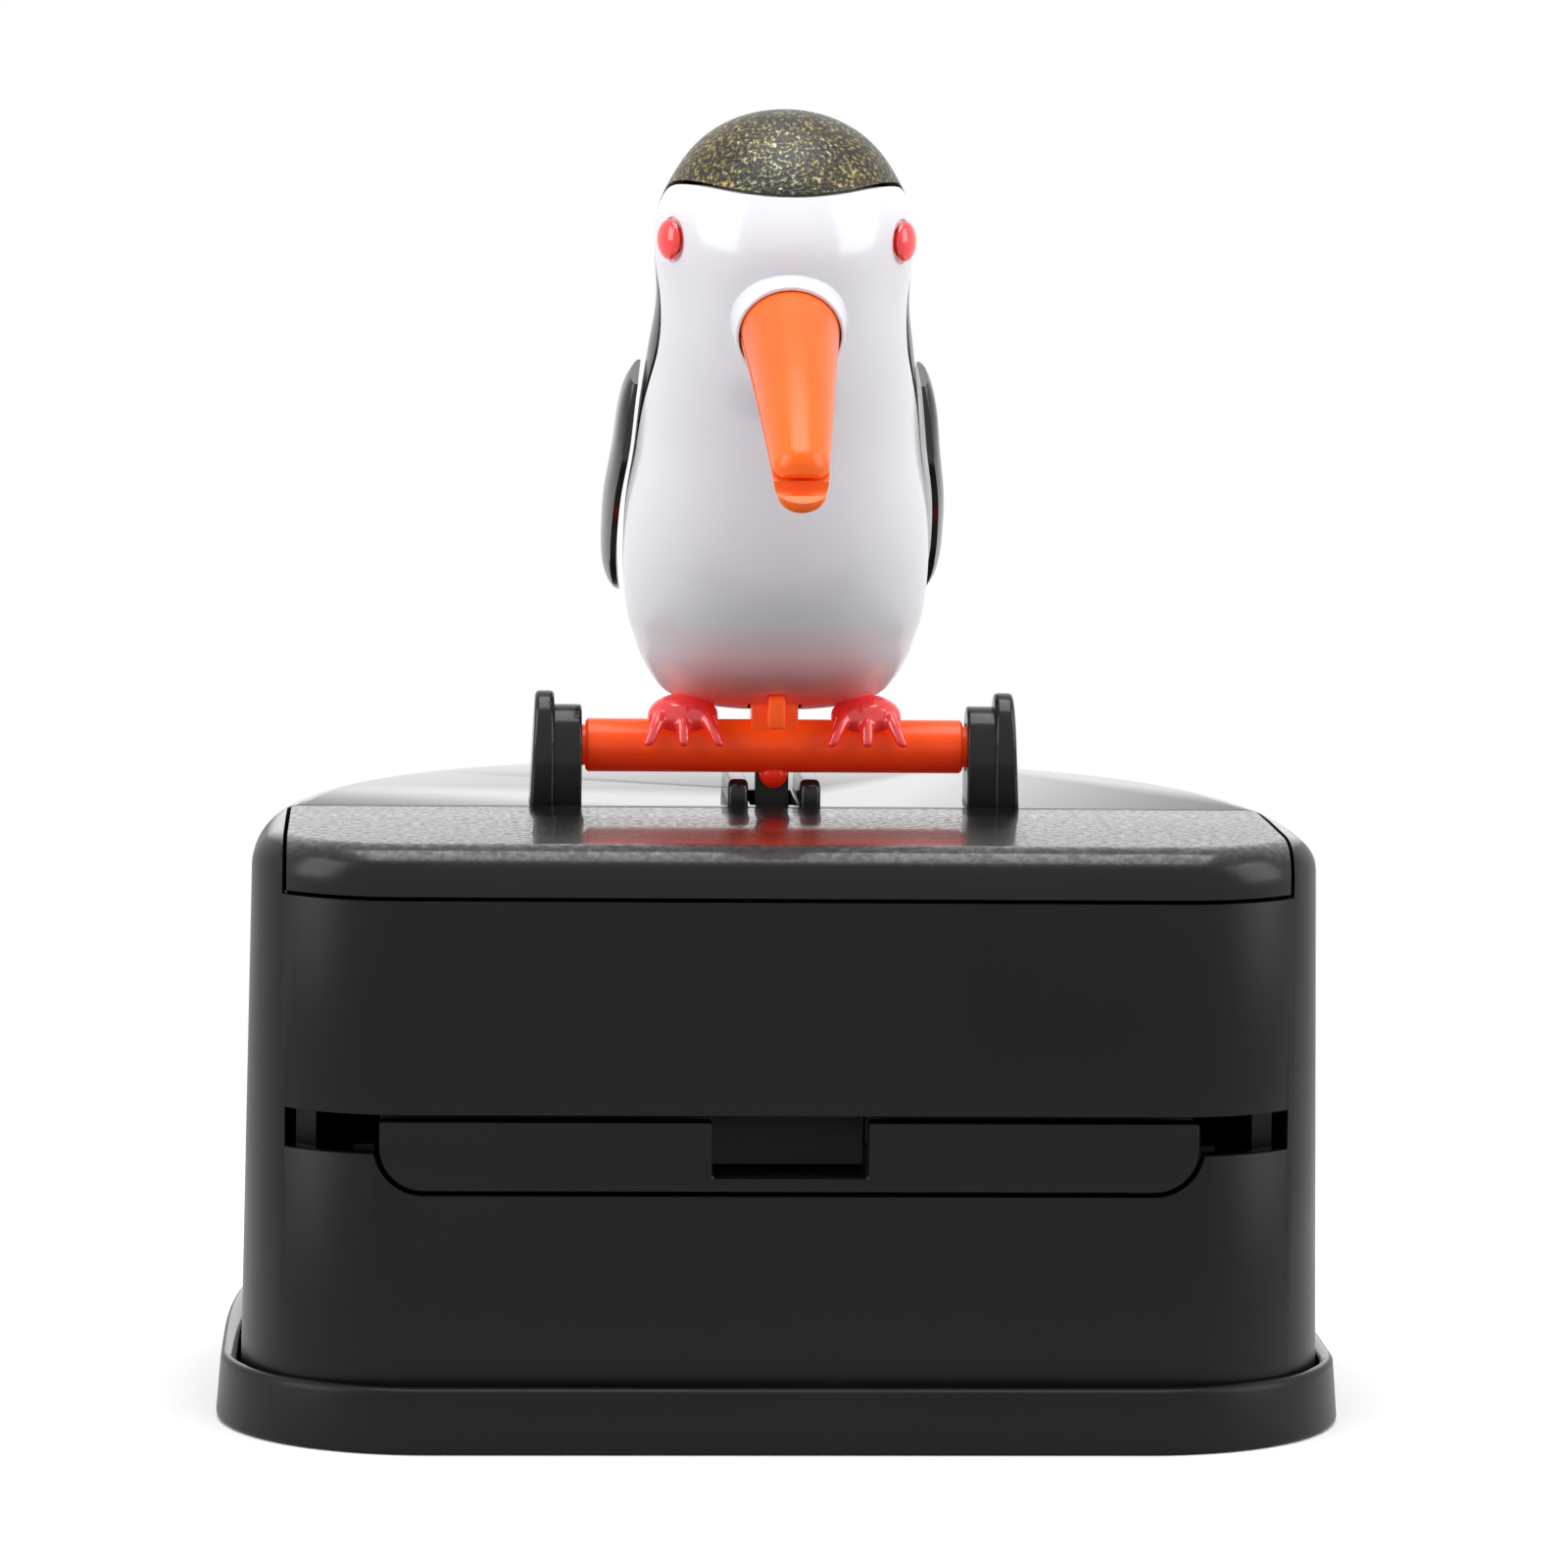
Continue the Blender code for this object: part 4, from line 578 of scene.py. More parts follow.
redFinish = {
    # the glow colour and strength below are a painted red glow
    "dark": rgb(0.92, 0.026, 0.030), "light": rgb(1.0, 0.050, 0.048), "paintedGlowColour": rgb(1.0, 0.04, 0.04),
    "cloud": 900.0, "rough": (0.08, 0.16), "coat": 0.5, "glow": 0.10, "relief": 0.03 * mm,
}


def clearRed():
    # the eyes and the feet get a painted red glow, though they are no lamps
    form = redFinish
    g = newFinish("clearRed")
    cloud = g.noise(g.coordinates(), form["cloud"])
    return g.shine(
        Base_Color=g.blend(cloud, form["dark"], form["light"]), Roughness=g.mottle(cloud, form["rough"]),
        Coat_Weight=form["coat"], Coat_Roughness=0.05,
        Emission_Color=form["paintedGlowColour"], Emission_Strength=form["glow"],
        Subsurface_Weight=0.25, Subsurface_Radius=(1.0 * mm, 0.25 * mm, 0.2 * mm),
        Normal=g.bump(cloud, form["relief"], 0.4))


innerFinish = {
    "dark": rgb(0.008, 0.008, 0.009), "light": rgb(0.014, 0.014, 0.015), "cloud": 120.0,
    "rough": (0.42, 0.55), "speck": 2200.0, "grain": 0.01 * mm,
}


def innerPlastic():
    form = innerFinish
    g = newFinish("innerPlastic")
    place = g.coordinates()
    cloud = g.noise(place, form["cloud"], 3.0)
    return g.shine(
        Base_Color=g.blend(cloud, form["dark"], form["light"]), Roughness=g.mottle(cloud, form["rough"]),
        Normal=g.bump(g.noise(place, form["speck"]), form["grain"], 0.5))


steelFinish = {
    "dark": rgb(0.52, 0.52, 0.54), "light": rgb(0.68, 0.68, 0.70), "streak": 900.0,
    "stretch": (1.0, 1.0, 9.0), "rough": (0.22, 0.38), "relief": 0.006 * mm,
}


def steelWire():
    form = steelFinish
    g = newFinish("steelWire")
    drawn = g.add("ShaderNodeMapping", {}, {"Vector": g.coordinates(), "Scale": form["stretch"]})
    streak = g.noise(drawn, form["streak"])
    return g.shine(
        Base_Color=g.blend(streak, form["dark"], form["light"]), Metallic=1.0,
        Roughness=g.mottle(streak, form["rough"]), Normal=g.bump(streak, form["relief"], 0.4))


# each finish with the material slot that it belongs to
finishes = {
    "box": (boxBlack(), "black_plastic"),
    "lid": (lidGrainAndPaintedGlints(), "textured_plastic"),
    "white": (whiteShell(), "white_plastic"),
    "back": (glitterBack(), "back_plastic"),
    "wing": (wingBlack(), "back_plastic"),
    "bar": (barOrange(), "bar_orange"),
    "beak": (beakOrange(), "beak_orange"),
    "red": (clearRed(), "red_plastic"),
    "inner": (innerPlastic(), "inner_plastic"),
    "steel": (steelWire(), "steel"),
}
print("materials made", len(finishes))


# base tray

baseForm = {
    "halfWidth": 40.2 * mm, "halfDepth": 33.0 * mm, "height": 4.7 * mm, "floor": 2.0 * mm,
    "corner": 15.0 * mm, "power": 3.8, "draft": 0.3 * mm, "foot": 0.4 * mm, "round": 0.55 * mm,
    "gap": 0.3 * mm, "ledgeDrop": 0.12 * mm, "ledgeStep": 0.1 * mm, "ledgeShares": (1.6, 1.1),
    "screws": (
        (-32.2 * mm, -20.5 * mm), (32.2 * mm, -20.5 * mm), (-21.12 * mm, 21.0 * mm), (21.12 * mm, 21.0 * mm)),
    "seatRadius": 2.5 * mm, "seatDepth": 1.4 * mm, "shankRadius": 1.4 * mm, "through": 1.0 * mm,
}


def baseRing(z, inset):
    form = baseForm
    return planRing(
        form["halfWidth"] - inset, -form["halfDepth"] + inset, form["halfDepth"] - inset,
        form["corner"] - inset, form["power"], z)


def makeBase():
    # up the rim, over its edge, and down inside to the floor
    form = baseForm
    foot, high = form["foot"], form["height"] - form["round"]
    rings = [baseRing(foot * (1 - cosine), foot * (1 - sine)) for sine, cosine in quarterTurn(4)]
    for sine, cosine in quarterTurn(5):
        rings.append(baseRing(high + form["round"] * sine, form["draft"] + form["round"] * (1 - cosine)))
    inner = [
        (form["height"] - form["ledgeDrop"] - form["ledgeStep"] * index, -form["gap"] * share)
        for index, share in enumerate(form["ledgeShares"])]
    for z, inset in (*inner, (form["floor"], -form["gap"])):
        rings.append([(x, y, z) for x, y, _ in housingRing(form["height"], inset)])
    bm = sweepRings(rings)
    for x, y in form["screws"]:
        low = (x, y, -form["through"])
        bm = carveAll(
            bm, rodMesh(form["seatRadius"], low, (x, y, form["seatDepth"])),
            rodMesh(form["shankRadius"], low, (x, y, form["floor"] + form["through"])))
    return finishPiece("baseTray", bm, "box", "box", "base", angle=28)


# housing

housingForm = {
    "lidHalfWidth": 35.2 * mm, "lidRear": -5.25 * mm, "lidThickness": 1.8 * mm, "lidLip": 3.5 * mm,
    "lipDepth": 10.2 * mm, "gap": 0.3 * mm, "ledge": 1.5 * mm, "mouthDrop": 1.5 * mm,
    "slotTop": 23.63 * mm, "slotWing": 2.8 * mm, "slotHalf": 35.25 * mm, "slotFloor": 17.93 * mm,
    "centreHalf": 29.1 * mm, "slotRound": 3.6 * mm, "slotDepth": 11.5 * mm,
    "window": (1.75 * mm, -3.4 * mm, 6.8 * mm), "windowDrop": 1.0 * mm,
    "hollowLow": 2.0 * mm, "hollowMiddle": 20.0 * mm,
    "ribInner": 1.9 * mm, "ribThickness": 1.5 * mm, "ribHeight": 1.9 * mm, "ribFront": -4.0 * mm,
    "ribRear": 7.0 * mm, "ribEdge": 0.42 * mm,
}
perchForm = {
    "axisY": -2.2 * mm, "axisZ": 46.6 * mm, "bossRadius": 3.0 * mm, "flangeRadius": 4.0 * mm,
    "bossDepth": 2.5 * mm, "flangeDepth": 2.7 * mm, "inner": 14.1 * mm, "bossWidth": 2.0 * mm,
    "flangeWidth": 1.4 * mm, "lap": 0.4 * mm, "flare": 0.4 * mm, "bore": 1.8 * mm, "boreEnd": 17.0 * mm,
    "edge": 0.22 * mm, "flangeEdge": 0.352 * mm,
}


def slotOutline():
    form = housingForm
    half, top = form["slotHalf"], form["slotTop"]
    wingFloor = top - form["slotWing"]
    centre = (form["centreHalf"] - form["slotRound"], form["slotFloor"] + form["slotRound"])
    right = [point for point in arcPoints(centre, form["slotRound"], -90, 0, 16) if point[1] <= wingFloor]
    right += [(form["centreHalf"], wingFloor), (half, wingFloor), (half, top)]
    return right + [(-x, z) for x, z in reversed(right)]


def archOutline(radius, halfDepth, low):
    middleY, middleZ = perchForm["axisY"], perchForm["axisZ"]
    head = [
        (middleY + (y - middleY) * halfDepth / radius, z)
        for y, z in arcPoints((middleY, middleZ), radius, 0, 180, 32)]
    return [(middleY - halfDepth, low), (middleY + halfDepth, low)] + head


def makePost(side):
    # inner boss and outer flange, which flares towards the top plate
    form = perchForm
    low, crest = boxForm["top"] - boxForm["sink"], form["axisZ"] + form["flangeRadius"]
    middle = form["inner"] + form["bossWidth"]
    outer = middle + form["flangeWidth"]
    boss = sidePrism(
        archOutline(form["bossRadius"], form["bossDepth"], low),
        side * form["inner"], side * (middle + form["lap"]))
    rings = []
    for x, flare in ((middle, 0.0), (outer, form["flare"])):
        rings.append([
            (side * (x + flare * max((crest - z) / (crest - low), 0)), y, z)
            for y, z in archOutline(form["flangeRadius"], form["flangeDepth"], low)])
    centre, end = (0, form["axisY"], form["axisZ"]), (side * form["boreEnd"], form["axisY"], form["axisZ"])
    return [
        carve(softenEdges(body, edge), rodMesh(form["bore"], centre, end))
        for body, edge in ((boss, form["edge"]), (sweepRings(rings), form["flangeEdge"]))]


def makeRib(side):
    form = housingForm
    height, half = form["ribHeight"], form["ribHeight"] / 2
    low, top = boxForm["top"] - boxForm["sink"], boxForm["top"] + height
    outline = [(form["ribFront"], low), (form["ribRear"], low)]
    outline += arcPoints((form["ribRear"] - height, top - height), height, 0, 90, 10)
    outline += arcPoints((form["ribFront"] + half, top - half), half, 90, 180, 6)
    rib = sidePrism(outline, side * form["ribInner"], side * (form["ribInner"] + form["ribThickness"]))
    return softenEdges(rib, form["ribEdge"], segments=4)


def makeHousing():
    form, body = housingForm, boxForm
    top, gap = body["top"], form["gap"]
    ceiling = top - body["topWall"]
    half, rear = form["lidHalfWidth"] + gap, form["lidRear"] + gap
    mouth = form["lidHalfWidth"] - form["ledge"]
    front, above = frontY - overrun, top + overrun
    levels = (body["foot"] - form["hollowLow"], form["hollowMiddle"], ceiling)
    windowHalf, windowFront, windowRear = form["window"]
    bm = carveAll(
        housingBody(body["foot"]), sweepRings([housingRing(z, body["wall"]) for z in levels]),
        boxMesh((-half, front, top - form["lidThickness"] - gap), (half, rear, above)),
        boxMesh((-half, front, top - form["lidLip"] - gap), (half, frontY + form["lipDepth"], above)),
        boxMesh((-mouth, innerFrontY, ceiling - form["mouthDrop"]), (mouth, rear, top)),
        frontPrism(slotOutline(), front, innerFrontY + form["slotDepth"]),
        boxMesh((-windowHalf, windowFront, ceiling - form["windowDrop"]), (windowHalf, windowRear, above)))
    softenEdges(tidyMesh(bm), body["edge"], angle=45, segments=2)
    bm = gather(bm, *makePost(-1), *makePost(1), makeRib(-1), makeRib(1))
    return finishPiece("housingShell", bm, "box", "box", "housing", normals=False)


# lid

lidForm = {
    "edge": 0.26 * mm, "hookWidth": 6.0 * mm, "hookPlace": 20.0 * mm, "hookReach": 1.3 * mm,
    "hookThickness": 1.2 * mm, "hookLap": 0.5 * mm, "far": 60.0 * mm,
}


def makeLid():
    # the housing's own top front corner, and two hooks that catch under the top plate
    form, body = lidForm, boxForm
    half, rear, gap = housingForm["lidHalfWidth"], housingForm["lidRear"], housingForm["gap"]
    low, under = body["top"] - housingForm["lidLip"], body["top"] - housingForm["lidThickness"]
    far = form["far"]
    bm = carveAll(
        housingBody(low), boxMesh((-far, -far, 0.0), (-half, far, far)),
        boxMesh((half, -far, 0.0), (far, far, far)), boxMesh((-far, rear, 0.0), (far, far, far)),
        sweepRings([housingRing(z, body["wall"]) for z in (low - overrun, under)]))
    softenEdges(tidyMesh(bm), form["edge"], angle=50, segments=3)
    thick = form["hookThickness"]
    foot = body["top"] - body["topWall"] - gap - thick
    bend, tip = rear - thick, rear + form["hookReach"]
    outline = [
        (bend - thick, under + form["hookLap"]), (bend - thick, foot), (tip, foot), (tip, foot + thick),
        (bend, foot + thick), (bend, under + form["hookLap"])]
    hooks = []
    for side in (-1, 1):
        middle = side * form["hookPlace"]
        hooks.append(sidePrism(outline, middle - form["hookWidth"] / 2, middle + form["hookWidth"] / 2))
    return finishPiece("lidPanel", gather(bm, *hooks), "lid", "lid", "lid", normals=False)


# drawer

drawerForm = {
    "halfWidth": 28.65 * mm, "top": 23.13 * mm, "bottom": 18.23 * mm, "round": 3.1 * mm, "rear": 3.4 * mm,
    "deck": 1.9 * mm, "wall": 2.5 * mm, "hollowFront": -23.65 * mm, "hollowRear": 1.6 * mm,
    "groove": (40.0 * mm, -28.75 * mm, -26.45 * mm, 21.03 * mm), "notch": (5.45 * mm, 6.0 * mm, 3.9 * mm),
    "socket": (1.55 * mm, -1.75 * mm, 2.35 * mm), "edge": 0.22 * mm,
}


def makeDrawer():
    # hollow slide with the toothpick's groove, the beak's notch and the rocker's socket
    form = drawerForm
    corner = (form["halfWidth"] - form["round"], form["bottom"] + form["round"])
    right = arcPoints(corner, form["round"], -90, 0, 16) + [(form["halfWidth"], form["top"])]
    half, deck = form["halfWidth"] - form["wall"], form["top"] - form["deck"]
    low, high = form["bottom"] - overrun, form["top"] + overrun
    grooveHalf, grooveFront, grooveRear, grooveFloor = form["groove"]
    notchHalf, notchLength, notchDepth = form["notch"]
    notchFloor, notchRear = form["top"] - notchDepth, frontY + notchLength
    socketHalf, socketFront, socketRear = form["socket"]
    bm = carveAll(
        frontPrism(right + [(-x, z) for x, z in reversed(right)], frontY, form["rear"]),
        boxMesh((-half, form["hollowFront"], low), (half, form["hollowRear"], deck)),
        boxMesh((-grooveHalf, grooveFront, grooveFloor), (grooveHalf, grooveRear, high)),
        boxMesh((-notchHalf, frontY - overrun, notchFloor), (notchHalf, notchRear, high)),
        boxMesh((-socketHalf, socketFront, low), (socketHalf, socketRear, high)))
    softenEdges(tidyMesh(bm), form["edge"], angle=45, segments=2)
    return finishPiece("drawerSlide", bm, "box", "drawer", "drawer", normals=False)


# perch bar

barForm = {
    "radius": 1.95 * mm, "journal": 1.5 * mm, "shoulder": 13.8 * mm, "shoulderStep": 0.02 * mm,
    "end": 16.7 * mm, "chamfer": 0.18 * mm, "nubRadius": 1.04 * mm, "nubReach": 3.1 * mm,
    "pegHalf": 0.58 * mm, "pegThick": 1.2 * mm, "pegHeight": 4.0 * mm, "pegForward": 4.3 * mm,
    "armLow": 1.65 * mm, "stem": (1.7 * mm, 1.5 * mm, 15.0 * mm), "edge": 0.16 * mm,
}


def makeBar():
    # turned bar, the nub under it, the peg on its arm and the bird's stem
    form = barForm
    y, z = perchForm["axisY"], perchForm["axisZ"]
    radius, journal, end, shoulder = form["radius"], form["journal"], form["end"], form["shoulder"]
    chamfer, thick = form["chamfer"], form["pegThick"]
    profile = [
        (0.0, end), (journal - chamfer, end), (journal, end - chamfer),
        (journal, shoulder + form["shoulderStep"]), (radius - chamfer, shoulder),
        (radius, shoulder - chamfer)]
    profile += [(radius, shoulder * (1 - index / 12)) for index in range(1, 12)]
    profile += [(out, -along) for out, along in reversed(profile)]
    turned = spinProfile(profile, (0, y, z), (1, 0, 0), 72)
    nub = bmesh.new()
    bmesh.ops.create_uvsphere(
        nub, u_segments=32, v_segments=20, radius=form["nubRadius"],
        matrix=Matrix.Translation((0, y, z - form["nubReach"] + form["nubRadius"])))
    pegY, pegTop = y - form["pegForward"], z + form["pegHeight"]
    armLow, armHigh = z + form["armLow"], z + form["armLow"] + thick
    outline = [(y, armLow), (pegY, armLow), (pegY, pegTop - thick / 2)]
    outline += arcPoints((pegY + thick / 2, pegTop - thick / 2), thick / 2, 180, 0, 10)[1:]
    outline += [(pegY + thick, armHigh), (y, armHigh)]
    peg = sidePrism(outline, -form["pegHalf"], form["pegHalf"])
    stemHalf, stemDepth, stemHeight = form["stem"]
    stem = boxMesh((-stemHalf, y - stemDepth, z), (stemHalf, y + stemDepth, z + stemHeight))
    bm = gather(turned, nub, softenEdges(peg, form["edge"]), softenEdges(stem, form["edge"]))
    return finishPiece("perchBar", bm, "bar", "bird", "perch_bar", normals=False)


# bird

birdForm = {
    "bottom": 50.2 * mm, "height": 43.2 * mm, "halfWidth": 10.8 * mm, "halfDepth": 10.8 * mm,
    "lean": 10.0 * mm, "wall": 1.2 * mm, "gap": 0.3 * mm, "edge": 0.10 * mm, "sag": (1.1 * mm, 0.30),
    "crown": (0.24 * mm, 0.85), "collarHeight": 0.8 * mm, "collarInner": 4.2 * mm, "collarOuter": 9.0 * mm,
    "collarRear": 4.0 * mm, "counts": (176, 120), "innerCounts": (96, 72),
    "width": (
        (0.0, 3.0), (0.02, 2.4), (0.05, 1.89), (0.10, 1.56), (0.15, 1.405), (0.20, 1.285), (0.27, 1.165),
        (0.345, 1.07), (0.42, 0.985), (0.50, 0.94), (0.60, 0.905), (0.68, 0.905), (0.75, 0.99), (0.82, 1.11),
        (0.90, 1.18), (1.0, 1.32)),
    "depth": (
        (0.0, 1.45), (0.05, 1.34), (0.11, 1.14), (0.18, 1.06), (0.27, 1.0), (0.37, 0.965), (0.46, 0.95),
        (0.57, 0.93), (0.69, 0.93), (0.78, 1.07), (0.88, 1.155), (1.0, 1.18)),
    "leans": (
        (0.0, -0.18), (0.18, -0.07), (0.27, -0.02), (0.37, 0.02), (0.46, 0.10), (0.57, 0.29), (0.69, 0.545),
        (0.78, 0.645), (0.88, 0.65), (1.0, 0.66)),
}
partingForm = {
    # (height, depth) shares of the line between the two shells, from the head down
    "shares": (
        (0.80, -1.60), (0.845, -0.95), (0.872, -0.50), (0.866, -0.12), (0.82, 0.04), (0.76, 0.02),
        (0.69, -0.16), (0.60, -0.30), (0.46, -0.14), (0.27, 0.0), (0.09, 0.0), (-0.10, 0.0)),
    "steps": 90, "far": 70.0 * mm, "top": 110.0 * mm, "half": 18.0 * mm,
}
beakForm = {
    "root": (-15.0 * mm, 78.8 * mm), "tip": (-36.9 * mm, 66.93 * mm), "rootRadius": 3.8 * mm,
    "tipRadius": 1.7 * mm, "sag": 0.7 * mm, "slit": 0.3 * mm, "upperShare": 0.92, "noseShare": 0.8,
    "bluntShare": 0.12, "seatShare": 0.935, "seatRadius": 0.84 * mm, "seatReach": 8.0 * mm, "edge": 0.09 * mm,
    "stations": 44, "sides": 40, "holeShares": (-0.12, 0.30), "holeGap": 0.14 * mm,
    "sleeve": 3.6 * mm, "sleeveWall": 0.46 * mm, "sleeveDepth": 1.5 * mm, "sleeveStep": 0.3 * mm,
    "rimShare": 0.42,
}


def birdSection(share):
    form = birdForm
    share = min(max(share, 0.0), 1.0)
    fullness = 2 * math.sqrt(share * (1 - share))
    return (
        form["halfWidth"] * fullness * roundTable(form["width"], share),
        form["halfDepth"] * fullness * roundTable(form["depth"], share),
        perchForm["axisY"] - form["lean"] * roundTable(form["leans"], share))


def beakPoint(share):
    (rootY, rootZ), (tipY, tipZ) = beakForm["root"], beakForm["tip"]
    z = rootZ + (tipZ - rootZ) * share + beakForm["sag"] * math.sin(math.pi * share)
    return Vector((0.0, rootY + (tipY - rootY) * share, z))


def beakRadius(share):
    return beakForm["rootRadius"] + (beakForm["tipRadius"] - beakForm["rootRadius"]) * share


beakWay = (beakPoint(0.06) - beakPoint(-0.06)).normalized()
beakLength = (beakPoint(1.0) - beakPoint(0.0)).length


def birdBody(inset=0.0, collar=False, counts=birdForm["counts"]):
    # a sphere drawn onto the bird's sections, with the belly's sag and the swell towards the beak
    form = birdForm
    sag, sagShare = form["sag"]
    drop, crownShare = form["crown"]
    bm = bmesh.new()
    bmesh.ops.create_uvsphere(bm, u_segments=counts[0], v_segments=counts[1], radius=1.0)
    for vert in bm.verts:
        share = (1 + vert.co.z) / 2
        halfWidth, halfDepth, centre = birdSection(share)
        angle = math.atan2(vert.co.y, vert.co.x)
        shrink = inset * math.sqrt(max(1 - vert.co.z ** 2, 0.0))
        z = form["bottom"] + inset + (form["height"] - 2 * inset) * share
        z -= sag * max(1 - share / sagShare, 0.0) ** 2
        z -= drop * max((share - crownShare) / (1 - crownShare), 0.0) ** 2
        x = max(halfWidth - shrink, 0.0) * math.cos(angle)
        vert.co = Vector((x, centre + max(halfDepth - shrink, 0.0) * math.sin(angle), z))
    if collar:
        for vert in bm.verts:
            away = vert.co - beakPoint(0.0)
            along = away.dot(beakWay)
            distance = (away - beakWay * along).length
            if vert.co.y < perchForm["axisY"] - form["collarRear"] and distance < form["collarOuter"]:
                t = min((form["collarOuter"] - distance) / (form["collarOuter"] - form["collarInner"]), 1.0)
                vert.co += beakWay * form["collarHeight"] * t * t * (3 - 2 * t)
    bmesh.ops.recalc_face_normals(bm, faces=bm.faces)
    return bm


def partingCurve(shift):
    heights, depths = [], []
    for heightShare, depthShare in reversed(partingForm["shares"]):
        heights.append(birdForm["bottom"] + birdForm["height"] * heightShare)
        depths.append(birdSection(heightShare)[2] + birdForm["halfDepth"] * depthShare)
    count, steps = len(heights) - 1, partingForm["steps"]
    zTable, yTable = (
        [(index / count, value) for index, value in enumerate(row)] for row in (heights, depths))
    return [
        (roundTable(yTable, index / steps) + shift, roundTable(zTable, index / steps) + shift)
        for index in range(steps + 1)]


def regionPrism(shift, rear):
    # all that lies behind the parting line, or before it
    form = partingForm
    line = partingCurve(shift)
    far, top = form["far"], form["top"]
    if rear:
        outline = line + [(line[-1][0], top), (far, top), (far, line[0][1])]
    else:
        outline = line + [(-far, line[-1][1]), (-far, line[0][1])]
    return sidePrism(outline, -form["half"], form["half"])


tailForm = {
    "root": (5.165 * mm, 61.0 * mm), "tip": (19.3 * mm, 51.2 * mm), "halfWidth": 4.2 * mm,
    "halfThickness": 1.1 * mm, "sides": 40,
    "stations": (
        (0.0, 1.0, 1.0), (0.2, 0.955, 0.91), (0.4, 0.91, 0.83), (0.6, 0.845, 0.74), (0.8, 0.75, 0.63),
        (0.92, 0.68, 0.55), (0.97, 0.60, 0.44), (1.0, 0.46, 0.24)),
}


def makeTail():
    form = tailForm
    root, tip = Vector((0.0, *form["root"])), Vector((0.0, *form["tip"]))
    across = Vector((1, 0, 0))
    up = across.cross(tip - root).normalized()
    turns = [2 * math.pi * index / form["sides"] for index in range(form["sides"])]
    return sweepRings([
        [root.lerp(tip, part) + across * form["halfWidth"] * wide * math.cos(angle)
         + up * form["halfThickness"] * thick * math.sin(angle) for angle in turns]
        for part, wide, thick in form["stations"]])


def makeSleeve():
    # raised lip round the beak's root, its rim rounded
    form = beakForm
    end, wall = form["sleeve"], form["sleeveWall"]
    taper = (form["rootRadius"] - form["tipRadius"]) / beakLength
    outer, rim = form["rootRadius"] + wall, wall * form["rimShare"]
    slope = (wall - 2 * rim + taper * end) / end
    profile = [(0.0, -form["sleeveDepth"]), (outer, -form["sleeveDepth"]), (outer, form["sleeveStep"])]
    profile += arcPoints((outer - slope * end - rim, end - rim), rim, 10, 90, 8)
    profile.append((0.0, end))
    return spinProfile(profile, beakPoint(0.0), beakWay, 96)


def makeShells():
    form = birdForm
    gap, room = form["gap"], beakForm["holeGap"]
    y, z = perchForm["axisY"], perchForm["axisZ"]
    stemHalf, stemDepth, stemHeight = barForm["stem"]
    stemBox = (
        (-stemHalf - gap, y - stemDepth - gap, z), (stemHalf + gap, y + stemDepth + gap, z + stemHeight / 2))
    pegHalf, pegY = barForm["pegHalf"] + room, y - barForm["pegForward"]
    pegBox = (
        (-pegHalf, pegY - 2 * mm, z),
        (pegHalf, pegY + barForm["pegThick"] + room, z + barForm["pegHeight"] + room))
    holeFrom, holeTo = beakForm["holeShares"]
    beakHole = rodMesh(
        beakRadius(holeFrom) + room, beakPoint(holeFrom), beakPoint(holeTo), 72, beakRadius(holeTo) + room)
    sockets = []
    for side in (-1, 1):
        place, way = eyePlace(side)
        out = place + way * overrun
        sockets.append(rodMesh(eyeForm["holeRadius"], place - way * eyeForm["holeDepth"], out, 32))
        sockets.append(rodMesh(eyeForm["socketRadius"], place - way * gap, out, 48))

    front = carveAll(
        carve(birdBody(collar=True), makeSleeve(), "UNION"),
        birdBody(form["wall"], counts=form["innerCounts"]), regionPrism(-gap / 2, True), beakHole, *sockets,
        boxMesh(*stemBox), boxMesh(*pegBox))
    back = carveAll(
        carve(birdBody(), makeTail(), "UNION"), birdBody(form["wall"], counts=form["innerCounts"]),
        regionPrism(gap / 2, False), boxMesh(*stemBox))
    for name, bm, finish, node in (
            ("breastShell", front, "white", "bird_front_shell"),
            ("backShell", back, "back", "bird_back_shell")):
        softenEdges(tidyMesh(bm, flat=False), form["edge"], angle=50, segments=2)
        finishPiece(name, bm, finish, "bird", node, angle=38)


# eyes

eyeForm = {
    "radius": 1.45 * mm, "bulge": 0.7 * mm, "rim": 0.05 * mm, "stand": 0.1 * mm, "stem": 0.8 * mm,
    "stemLength": 2.2 * mm, "height": 83.9 * mm, "forward": 0.46,
    "holeRadius": 1.1 * mm, "holeDepth": 6.0 * mm, "socketRadius": 1.62 * mm,
}


def eyePlace(side):
    # a point on the head's side, and the way that the head faces there
    form = eyeForm
    share = (form["height"] - birdForm["bottom"]) / birdForm["height"]
    halfWidth, halfDepth, centre = birdSection(share)
    y = centre - halfDepth * form["forward"]
    x = halfWidth * math.sqrt(1 - form["forward"] ** 2)
    way = Vector((side * x / halfWidth ** 2, (y - centre) / halfDepth ** 2, 0.0)).normalized()
    return Vector((side * x, y, form["height"])), way


def makeEyes():
    form = eyeForm
    profile = [(form["radius"] * sine, form["bulge"] * cosine) for sine, cosine in quarterTurn(16)]
    profile += [(form["radius"] - form["rim"], -form["rim"]), (form["stem"], -form["rim"])]
    profile += [(form["stem"], -form["stemLength"]), (0.0, -form["stemLength"])]
    for name, side in (("Left", -1), ("Right", 1)):
        place, way = eyePlace(side)
        bm = spinProfile(profile, place + way * form["stand"], way, 48)
        finishPiece(f"eye{name}", bm, "red", "bird", f"eye_{name.lower()}", angle=50)


# beak

